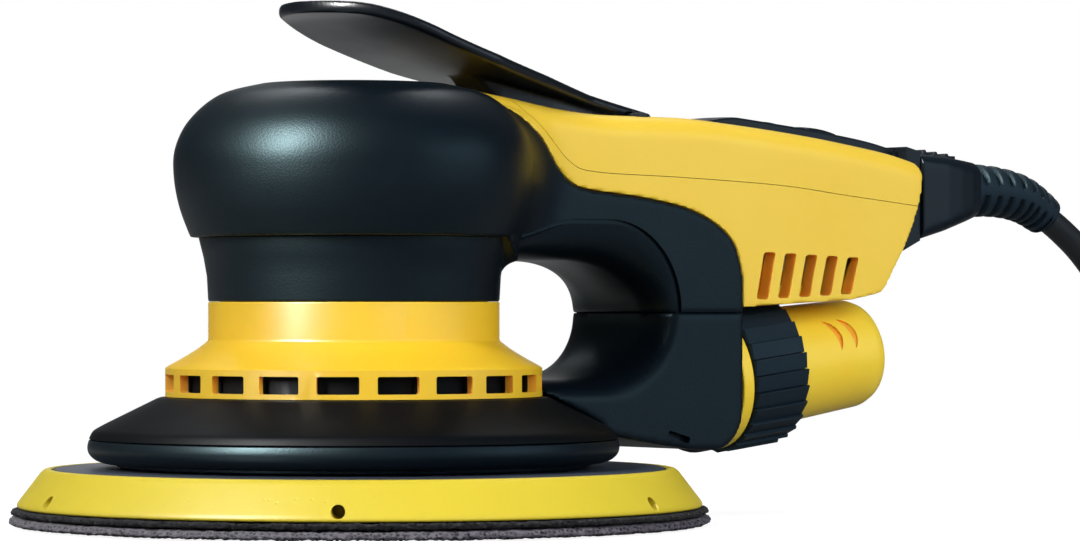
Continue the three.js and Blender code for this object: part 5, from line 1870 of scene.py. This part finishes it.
@dataclass
class DustDuct:
    """The black duct under the hand gap that carries the dust from the shroud to the outlet."""

    casing: Casing
    catch: Point = (6.3, 1.5)  # length and width of the small catch low in each side
    catch_place: Point = (74.5, 17.5)
    catch_slant: float = 16.0
    wall: float = 2.5

    def build(self) -> None:
        """Makes the duct."""
        piece("dust_duct_moulding", self.duct(), SOFT_BLACK, "tool", "dust_duct", angle=50)

    def duct(self) -> Solid:
        """The duct's outer form, hollowed, with the neck that the outlet's flange sits on.

        Returns:
            The duct.
        """
        form = self.casing
        rear = form.grip_rear - 0.2
        outline = [
            (38, 30), (38, 22.8), *smooth_line([(42, 21.4), (52, 19), (64, 16.7), (78, 14.7)], 20),
            *arc(84, 23.2, rear - 84, -80, 0, 18), (rear, form.seam), (50, form.seam),
        ]
        stations = [34 + 2 * i for i in range(31)]
        rings = [section(x, form.tail_half + form.proud, 5, form.seam, 3, 0.3) for x in stations]
        bar = Solid(lofted(rings)).keep(Solid(prism(outline, 40)))
        shroud_clear = [
            (0, 10), (58, 10), (57.5, 18.6), (56.4, 20.6), (53.8, 22), (42.4, 27.6), (41.3, 28), (41.3, 34),
            (32.6, 39), (32.6, 50), (0, 50),
        ]
        bar.cut(form.hand_gap(), Solid(turned(shroud_clear, 160)))
        bar.cut(*self.rooms())
        bore = Outlet.bore
        collar = [(bore, -4.5), (16.2, -4.5), (16.6, -3.5), (16.6, 0), (bore, 0)]
        neck = Outlet.place(Solid(turned(collar, 96)))
        neck.keep(Solid(block(84, 100, -20, 20, 0, form.seam)))
        bar.add(neck)
        bar.cut(Outlet.place(Solid(rod(bore, -8, 6, steps=64))))
        return bar.moulded(0.6, 4).cut(*[self.notch(side) for side in (-1, 1)])

    def rooms(self) -> list[Solid]:
        """The way of the dust: flat under the hand gap, wide in the rear pillar.

        Returns:
            Two solids to cut with.
        """
        form, wall = self.casing, self.wall
        x, z, radius, _ = form.gap_rim
        rear = [(80, 17.3), (87, 18.4), (90.6, 24), (90.6, 42.4), (79.2, 42.4)]
        wide = [(67, 19.1), *rear, *arc(x, z, radius + wall + 1.5, -8, -60, 12)]
        x, z, reach, high = form.gap_middle
        under_gap = [*oval(x, z, reach + wall, high + wall, -8, -90, 16), (36, z - high - wall)]
        middle = [(36, 21), (52, 21.2), (67, 19.1), *rear, *under_gap]
        return [
            Solid(prism(wide, form.tail_half - wall)),
            Solid(prism(middle, form.tail_half - form.gap_depth)),
        ]

    def notch(self, side: int) -> Solid:
        """A small slanted catch, sunk low in the duct's side.

        Args:
            side: Minus one for the left, one for the right.

        Returns:
            A solid to cut with.
        """
        face = side * (self.casing.tail_half + self.casing.proud)
        return Solid(
            placed(
                prism(all_round(rectangle(*self.catch), 0.6), 1.8),
                about("Y", self.catch_slant),
                moved(self.catch_place[0], face, self.catch_place[1]),
            )
        )


# -------- yellow tail


@dataclass
class Tail:
    """The yellow housing and cover of the electronics."""

    casing: Casing
    slots: int = 5
    slot_start: float = 98.2
    slot_pitch: float = 6.2
    slot_width: float = 3.5
    slot_low: float = 48.0
    slot_high: float = 58.7
    slot_lean: float = 2.2
    slot_middle: Point = (18.6, 4.5)  # each cutter's distance from the tail's middle, and half its depth
    rib: Four = (97.0, 130.0, 50.0, 60.3)  # behind the slots, along the middle
    rib_half: float = 0.8
    socket: Four = (130.0, 58.0, 77.5, 12.0)
    posts: tuple[Point, ...] = ((102, -12), (102, 12), (123, -12), (123, 12))
    seam: float = 0.07  # half the hair line between the housing and the cover
    parting: float = 0.06  # and half the one between the tail and the grip

    def build(self) -> None:
        """Makes the housing and the cover out of one moulded shell."""
        shell = self.shell()
        housing = piece(
            "tail_housing_moulding", self.housing(shell.twin()), TAIL_YELLOW, "tool", "tail_housing", angle=50
        )
        face = self.casing.tail_half - 0.25

        def in_slots(at: Vector) -> bool:
            """Whether a point is in the thickness of the slotted walls, or on the rib between them, which are
            painted a deeper yellow as shade.
            """
            return 96 < at.x < 130.5 and at.z < 62.5 and (14 < abs(at.y) < face or abs(at.y) < 1)

        # Painted shade: the slots' walls, the inner walls behind them and the rib take a deeper yellow.
        tint(housing, PAINTED_SHADE_YELLOW, in_slots)
        piece("tail_cover_moulding", self.cover(shell), TAIL_YELLOW, "tool", "tail_cover", angle=50)

    def room(self) -> Solid:
        """The room for the electronics.

        Returns:
            The room as a solid, to cut with.
        """
        outline = [
            (47, 82), (47, 79.5), (47.5, 77.6), (54, 75.2), (72, 73.6), (85, 69.8), (93, 64), (95.6, 55),
            (95.6, 51), (126, 51.8), (131.5, 53), (140.2, 64), (143, 71), (144.4, 76), (138, 78.4),
            (116, 82.3), (92, 85.2), (80, 85.8), (78.9, 82),
        ]
        return Solid(prism(outline, self.casing.tail_half - self.casing.tail_wall))

    def shell(self) -> Solid:
        """The whole tail before it is parted at the cover's line. Over the head it follows its form.

        Returns:
            The shell.
        """
        form = self.casing
        outer = form.tail(42, 0).keep(form.yellow_side(self.parting))
        outer.cut(self.room(), form.head_room(), Outlet.clear(96))
        front, rear = form.trough
        outside = form.trough_half + 2.8
        walls = Solid(block(front + 3, rear + 2.6, -outside, outside, form.trough_floor - 2.5, 99))
        walls.keep(form.tail(42, 0), form.yellow_side(self.parting)).cut(form.head_room())
        outer.add(walls).cut(form.trough_cut(), self.socket_cut())
        side = [(96.9, 46), (127, 46), (127, 60), (96.9, 60)]
        floor = [(96.9, 48.6), (127, 48.9), (127, 60), (96.9, 60)]
        for y in (-1, 1):
            channel = placed(prism(floor, 2.4), moved(0, y * 12.4, 0))
            outer.cut(Solid(channel))
            wall = Solid(placed(prism(side, 1.0), moved(0, y * 15.8, 0)))
            outer.add(wall.keep(form.yellow_side(1.0)).cut(Outlet.clear(48)))
        cap = form.head_form().keep(form.yellow_side(self.parting))
        return outer.moulded(0.56, 2).add(cap.cut(form.head_room(), form.trough_cut(), self.room()))

    def socket_cut(self) -> Solid:
        """The opening at the rear for the mains inlet."""
        front, low, high, half = self.socket
        return Solid(block(front - 4, 156, -half - GAP, half + GAP, low - GAP, high + GAP))

    def slot_cut(self, index: int, side: int) -> Solid:
        """One slanted cooling slot through a side wall, a little shorter than the one before it.

        Args:
            index: Which slot, from the front.
            side: Minus one for the left, one for the right.

        Returns:
            A solid to cut with.
        """
        lean = self.slot_lean / 2
        front = self.slot_start + index * self.slot_pitch
        rear = front + self.slot_width
        low = self.slot_low + 0.3 * index
        high = self.slot_high - 0.25 * index
        outline = [(front - lean, low), (rear - lean, low), (rear + lean, high), (front + lean, high)]
        away, half = self.slot_middle
        return Solid(placed(prism(all_round(outline, 0.9), half), moved(0, side * away, 0)))

    def housing(self, shell: Solid) -> Solid:
        """The lower part, with the slots and the posts that carry the circuit board.

        Args:
            shell: The whole tail, which is used up.

        Returns:
            The housing.
        """
        body = shell.keep(self.casing.housing_side(self.seam))
        body.cut(*[self.slot_cut(i, side) for i in range(self.slots) for side in (-1, 1)])
        body.add(*[Solid(rod(2.2, 48.2, 62.7, x, y, 24)) for x, y in self.posts])
        front, rear, low, high = self.rib
        body.add(Solid(block(front, rear, -self.rib_half, self.rib_half, low, high)))
        return body.cut(self.casing.lead_way(34, 56))

    def cover(self, shell: Solid) -> Solid:
        """The upper part, with the lever's trough and the wells of the keys.

        Args:
            shell: The whole tail, which is used up.

        Returns:
            The cover.
        """
        form = self.casing
        body = shell.keep(form.cover_side(self.seam))
        x, z, radius = PaddleLever.pin
        body.cut(cross_rod(radius + GAP, 14.5, x, z), ControlPanel.form(form, 0.12))
        return body.cut(*[Solid(key.well(2 * GAP)) for key in ControlPanel.keys])


# -------- dust outlet


@dataclass
class Outlet:
    """The dust outlet: a bright flange, a ribbed collar and a nozzle for the hose, on a tilted axis."""

    collar_radius: float = 17.6
    origin: Place = (95.0, 0.0, 30.0)
    tilt: float = 7.0
    bore: float = 11.6
    ribs: int = 28
    collar: Point = (3.45, 19.0)
    nozzle_end: float = 47.0
    marks: tuple[float, float] = (29.5, 34.1)  # along the axis

    @classmethod
    def matrix(cls) -> Matrix:
        """Turns a piece made along +Z onto the outlet's axis."""
        lean = about("Y", 90 - cls.tilt)
        return Matrix.Translation(cls.origin) @ lean

    @classmethod
    def place(cls, solid: Solid) -> Solid:
        """Moves a solid onto the outlet's axis."""
        solid.mesh.transform(cls.matrix())
        return solid

    @classmethod
    def clear(cls, steps: int) -> Solid:
        """The room that the collar turns in."""
        return cls.place(Solid(rod(cls.collar_radius + 2 * GAP, -3, 20, steps=steps)))

    def build(self) -> None:
        """Makes the flange, the seal, the collar and the nozzle."""
        flange = rounded(
            [(self.bore, 0.1), (16.6, 0.1), (16.6, 3.2), (13.4, 3.2), (13.4, 10.5), (self.bore, 10.5)],
            {1: 0.4, 2: 0.5},
        )
        ring = self.place(Solid(turned(flange, 96)))
        piece("outlet_flange_ring", ring, NOZZLE_YELLOW, "tool", "outlet_flange")
        dress_nodes(RUBBER, "outlet_seal")
        collar = self.place(self.ribbed_collar())
        piece("outlet_ribbed_collar", collar, RUBBER, "outlet_collar", "outlet_collar", angle=20)
        body = self.place(self.nozzle())
        nozzle = piece("outlet_hose_nozzle", body, NOZZLE_YELLOW, "outlet_nozzle", "outlet_nozzle")
        back = self.matrix().inverted()

        def sunk(at: Vector) -> bool:
            """Whether a point lies in one of the sickle marks, which are painted a deeper yellow as shade."""
            local = back @ at
            return 26 < local.z < 38 and 11.9 < math.hypot(local.x, local.y) < 12.75

        # Painted shade: the floors and walls of the sickle marks take a deeper yellow.
        tint(nozzle, PAINTED_SHADE_YELLOW, sunk)

    def ribbed_collar(self) -> Solid:
        """The collar's saw-tooth outline: flat facets that each end in a slit and a step.

        Returns:
            The collar along +Z.
        """

        def outline(shrink: float) -> Outline:
            """The ribbed outline, smaller by a distance.

            Args:
                shrink: That distance.

            Returns:
                The outline's points.
            """
            tooth = ((0.0, 0.12), (0.03, 0.0), (0.93, 0.75), (0.94, 1.65), (0.985, 1.65))
            return [
                polar(self.collar_radius - drop - shrink, 360 * (k + share) / self.ribs)
                for k in range(self.ribs)
                for share, drop in tooth
            ]

        start, end = self.collar
        levels = ((start, 0.4), (start + 0.35, 0.0), (end - 0.35, 0.0), (end, 0.4))
        body = Solid(lofted([[(x, y, z) for x, y in outline(shrink)] for z, shrink in levels]))
        return body.cut(
            Solid(rod(13.7, 0, end + 1, steps=96)),
            Solid(rod(14.6, 10.5, 14.3, steps=96)),
        )

    def nozzle(self) -> Solid:
        """The tapered nozzle, with two sickle marks sunk in its near side.

        Returns:
            The nozzle along +Z.
        """
        end = self.nozzle_end
        profile = rounded(
            [
                (self.bore, 12.2), (14.3, 12.2), (14.3, 14.0), (13.5, 14.0), (13.5, 21.0), (12.6, end - 2.5),
                (11.6, end), (10.2, end),
            ],
            {5: 0.6, 6: 0.7, 7: 0.3},
        )
        body = Solid(turned(profile, 160))
        sickle = [*arc(0, 0, 4.7, 118, 242, 20), *arc(11.8, 0, 14.6, 196.5, 163.5, 20)]
        for reach in self.marks:
            mark = placed(
                plate(sickle, 11.0, 16.0),
                about("Z", 18),
                about("X", 90),
                about("Y", 90),
                moved(0, 0, reach),
                about("Z", -25),
            )
            body.cut(Solid(mark).cut(Solid(rod(12.35, 10, 50, steps=96))))
        return body


# -------- keys and lever


@dataclass(frozen=True)
class Key:
    """One key of the control panel."""

    name: str
    node: str
    x: float
    half: float
    proud: float
    width: float = 5.1

    def well(self, margin: float) -> BMesh:
        """The way down for the key, with a margin all round."""
        long, wide = self.half + margin, self.width + margin
        return block(self.x - long, self.x + long, -wide, wide, 70, 95)

    def build(self, casing: Casing) -> None:
        """Makes the key with a soft rounded cap.

        Args:
            casing: The tail that the panel lies on.
        """
        top = casing.tail_top(self.x) + ControlPanel.proud(self.x) + self.proud
        low = casing.tail_top(self.x) - 2.5
        slope = (casing.tail_top(self.x + 3) - casing.tail_top(self.x - 3)) / 6
        stations = [self.x - self.half + 2 * self.half * i / 8 for i in range(9)]
        rings = []
        for x in stations:
            share = (x - self.x) / self.half
            crown = 0.35 * (1 - share**2)
            height = top + slope * (x - self.x) - 0.35 + crown
            rings.append(section(x, self.width, low, height, 0.3, 1.0, 0.25))
        piece(self.name, Solid(lofted(rings)).moulded(0.22, 3), SOFT_BLACK, self.node, self.node, angle=60)


@dataclass
class ControlPanel:
    """The black strip on top of the tail, with the power key between the two speed keys."""

    casing: Casing
    front: float = 87.0
    rear: float = 147.2
    half: float = 8.0
    crown: float = 0.15
    keys = (
        Key("power_key", "power_button", 128.0, 4.6, 0.9),
        Key("speed_up_key", "speed_up_button", 139.0, 3.2, 0.4),
        Key("speed_down_key", "speed_down_button", 113.0, 3.2, 0.4),
    )

    @classmethod
    def proud(cls, x: float) -> float:
        """How far the strip stands over the tail's top: it rises out of it and grows to the rear."""
        return 2.2 * soft_step((x - cls.front) / 14) + 0.5 * max(0.0, x - 112) / 34

    @classmethod
    def form(cls, casing: Casing, grow: float) -> Solid:
        """The strip's form along the tail's top.

        Args:
            casing: The tail that it lies on.
            grow: How far it is grown all round.

        Returns:
            The form.
        """
        steps = 40
        stations = [cls.front + (cls.rear - cls.front) * i / steps for i in range(steps + 1)]
        rings = []
        for i, x in enumerate(stations):
            shift = -grow if i == 0 else grow if i == steps else 0.0
            top = casing.tail_top(x)
            high = top + cls.proud(x) + grow - cls.crown
            rings.append(section(x + shift, cls.half + grow, top - 1.4 - grow, high, 0.3, 0.7, cls.crown))
        return Solid(lofted(rings))

    def build(self) -> None:
        """Makes the strip and its keys."""
        strip = self.form(self.casing, 0.0)
        strip.cut(*[Solid(key.well(GAP)) for key in self.keys])
        piece("control_strip", strip.eased(0.18, 2, 50), HARD_BLACK, "tool", "control_panel")
        for key in self.keys:
            key.build(self.casing)


@dataclass
class PaddleLever:
    """The paddle lever over the head, hinged low on the tail, with its pin, spring and magnet."""

    half: float = 22.0
    tip: float = -15.0
    rear: float = 74.5
    thick: float = 2.6
    web_half: float = 9.0
    pin: Place = (68.0, 88.0, 1.5)
    top_line: Outline = field(
        default_factory=lambda: smooth_line(
            [
                (-15, 111.6), (-8, 110.9), (-2, 109.2), (6, 106.4), (14, 103.7), (24, 100.7), (34, 98.2),
                (48, 95), (62, 92), (74.5, 89.6),
            ],
            90,
        )
    )

    def half_at(self, x: float) -> float:
        """Half the lever's width: a round tip, then narrower and narrower towards the hinge.

        Args:
            x: Where along the lever.

        Returns:
            Half its width there.
        """
        centre = self.tip + self.half
        if x < centre:
            return math.sqrt(max(self.half**2 - (centre - x) ** 2, 0.09))
        return along([(centre, self.half), (24, 21), (40, 16.8), (56, 11), (self.rear, 9)], x)

    def build(self) -> None:
        """Makes the lever and dresses what works with it."""
        piece("paddle_lever", self.paddle(), GLOSS_BLACK, "lever", "lever", angle=60)
        dress_nodes(STEEL, "lever_magnet")
        dress_nodes(BLACK_STEEL, "lever_spring")
        dress_nodes(GLOSS_BLACK, "lever_pin")

    def paddle(self) -> Solid:
        """The thin curved plate and the hollow web beneath it.

        Returns:
            The lever.
        """
        centre = self.tip + self.half
        nose = [centre - self.half * math.cos(math.radians(a)) for a in range(2, 90, 4)]
        stations = nose + [centre + (self.rear - centre) * i / 44 for i in range(45)]
        rings = []
        for x in stations:
            top = along(self.top_line, x)
            half = self.half_at(x)
            edge = min(1.2, half * 0.9)
            rings.append(section(x, half, top - self.thick, top, edge, edge))
        body = Solid(lofted(rings))
        web_line = smooth_line(
            [(22, 98.9), (29, 96.4), (36, 90.1), (50, 87.1), (68, 85.6), (self.rear, 86.6)], 30
        )
        bow = [(22, 3), (34, 6.6), (48, self.web_half), (self.rear, self.web_half)]
        web = [
            section(x, min(along(bow, x), self.half_at(x)), low, along(self.top_line, x) - 1, 0.8, 0.3)
            for x, low in web_line
        ]
        body.add(Solid(lofted(web)))
        pin_x, pin_z, pin_radius = self.pin
        spring_pocket = Solid(rod(4.0, 80, 93.1, 45.6, 0, 32))
        magnet_pocket = Solid(rod(2.3, 80, 89.9, 58, 0, 24))
        body.cut(spring_pocket, magnet_pocket, cross_rod(pin_radius + GAP, 20, pin_x, pin_z))
        return body.moulded(0.42, 3)


# -------- mains inlet


@dataclass
class MainsInlet:
    """The inlet socket, the coupling that plugs into it, its latch and the lead's strain relief."""

    relief_path: tuple[Point, ...] = (
        (172.7, 74.1), (180, 74.1), (187, 73.8), (193.5, 72.7), (198, 71), (202, 68.8), (203.4, 67.9),
    )
    relief_radii: tuple[Point, ...] = ((0, 6.6), (0.55, 5.7), (0.93, 4.8), (0.985, 4.4), (1, 3.7))
    ribs: int = 9
    slot_depth: float = 1.7
    spine: Point = (1.1, 2.2)  # half its width, and where the slots beside it reach their full depth
    necks: tuple[tuple[float, float, float, float, float], ...] = (
        (144, 151, 11.6, 62, 77.3), (146.9, 148.5, 9, 78.6, 82.4), (151.5, 152.9, 11.4, 63.4, 80.9),
    )  # hidden parts of the socket that close its seams: front, rear, half width, low, high
    core: Point = (170.6, 175.0)  # and the hidden core between the coupling and the relief

    def build(self) -> None:
        """Makes the four pieces."""
        piece("mains_inlet_socket", self.socket().eased(0.35, 2), HARD_BLACK, "tool", "inlet_socket")
        piece("mains_coupling", self.coupling(), HARD_BLACK, "tool", "cable_coupling", angle=50)
        latch = self.latch().eased(0.2, 2)
        piece("coupling_latch_pad", latch, HARD_BLACK, "coupling_latch", "coupling_latch")
        piece("ribbed_strain_relief", self.relief(), RUBBER, "tool", "strain_relief", angle=50)

    def socket(self) -> Solid:
        """The socket's body and its flange at the tail's end.

        Returns:
            The socket.
        """
        flange = [(143.8, 58), (152.1, 61.8), (152.1, 82.6), (147.9, 83.6), (147.9, 77.9), (146.6, 71)]
        body = Solid(block(130, 145, -12, 12, 58, 77.5)).add(Solid(prism(flange, 12)))
        for x0, x1, half, low, high in self.necks:
            body.add(Solid(block(x0, x1, -half, half, low, high)))
        return body.cut(*[Solid(block(136, 154, y - 1.2, y + 1.2, 67, 72)) for y in (-5, 5)])

    def coupling(self) -> Solid:
        """The coupling's tapered body with the latch's seat in its top.

        Returns:
            The coupling.
        """
        stations = (
            (152.4, 13.0, 62.0, 81.9, 2.5), (156, 13.0, 62.9, 81.8, 2.8), (160.4, 13.0, 64.0, 81.6, 3.0),
            (165, 12.6, 65.3, 81.2, 3.4), (169, 12.0, 66.4, 80.8, 3.7), (172.5, 11.0, 67.3, 80.5, 4.0),
        )
        body = Solid(lofted([section(*station, station[-1]) for station in stations]))
        body.cut(Solid(block(158.1, 169.9, -5.4, 5.4, 78.0, 90)))
        along_x = about("Y", 90)
        height = self.relief_path[0][1]
        core = placed(rod(5.0, *self.core, steps=32), along_x, moved(0, 0, height))
        return body.add(Solid(core)).moulded(0.4, 3)

    def latch(self) -> Solid:
        """The latch's pad with three ridges for the thumb.

        Returns:
            The pad.
        """
        body = Solid(block(158.5, 169.5, -5, 5, 79.2, 82))
        for k in range(3):
            x, top = 160.5 + 3.5 * k, 83.4 - 0.4 * k
            ridge = [(x - 0.8, 81.5), (x + 0.8, 81.5), (x + 0.5, top), (x - 0.5, top)]
            body.add(Solid(prism(rounded(ridge, {2: 0.4, 3: 0.4}), 4.2)))
        return body

    def relief(self) -> BMesh:
        """A tapered sleeve with slots across it, above and below a spine along each side.

        Returns:
            The sleeve.
        """
        stations, sides = 190, 64
        path = [Vector((x, 0, z)) for x, z in smooth_line(self.relief_path, stations)]
        rings = []
        for i, here in enumerate(path):
            share = i / stations
            ahead = (path[min(i + 1, stations)] - path[max(i - 1, 0)]).normalized()
            up = Vector((-ahead.z, 0, ahead.x))
            outer = along(self.relief_radii, share)
            place = (share - 0.05) / 0.88 * self.ribs
            wave = abs(place % 1.0 - 0.5) * 2 if 0 < place < self.ribs else 0.0
            slot = 1 / (1 + math.exp(-16 * (wave - 0.66)))
            ring = []
            for k in range(sides):
                angle = math.tau * k / sides
                beside = (abs(math.sin(angle)) * outer - self.spine[0]) / (self.spine[1] - self.spine[0])
                radius = outer - self.slot_depth * slot * soft_step(beside)
                ring.append(here + up * (radius * math.sin(angle)) + Vector((0, radius * math.cos(angle), 0)))
            rings.append(ring)
        return lofted(rings)


# -------- inside


def dress_inside() -> None:
    """Finishes for the pieces inside the tool, whose CAD shapes are kept."""
    dress_nodes(STEEL, "stator", "lower_bearing", "upper_bearing", "spindle_bearing", "spindle_circlip")
    dress_nodes(STEEL, "shaft_balancer", "counterweight", "rotor_core", "rotor_magnets")
    dress_nodes(STEEL, "shroud_screw_1", "shroud_screw_2", "shroud_screw_3")
    dress_nodes(COPPER, "windings")
    dress_nodes(HARD_BLACK, "bearing_bracket", "cooling_fan", "capacitor_1", "capacitor_2")
    dress_nodes(BOARD, "circuit_board", "lever_sensor")
    dress_nodes(ALUMINIUM, "heat_sink")
    dress_nodes(BRASS, "plug_pin_1", "plug_pin_2")


def main() -> None:
    """Builds the studio and each sub-assembly in order."""
    logging.basicConfig(level=logging.INFO, format="%(message)s")
    casing = Casing()
    Studio().build()
    MainsLead().build()
    SandingPad().build()
    Shroud().build()
    MotorHousing().build()
    HeadGrip(casing).build()
    DustDuct(casing).build()
    Tail(casing).build()
    Outlet().build()
    ControlPanel(casing).build()
    PaddleLever().build()
    MainsInlet().build()
    dress_inside()


if __name__ == "__main__":
    main()
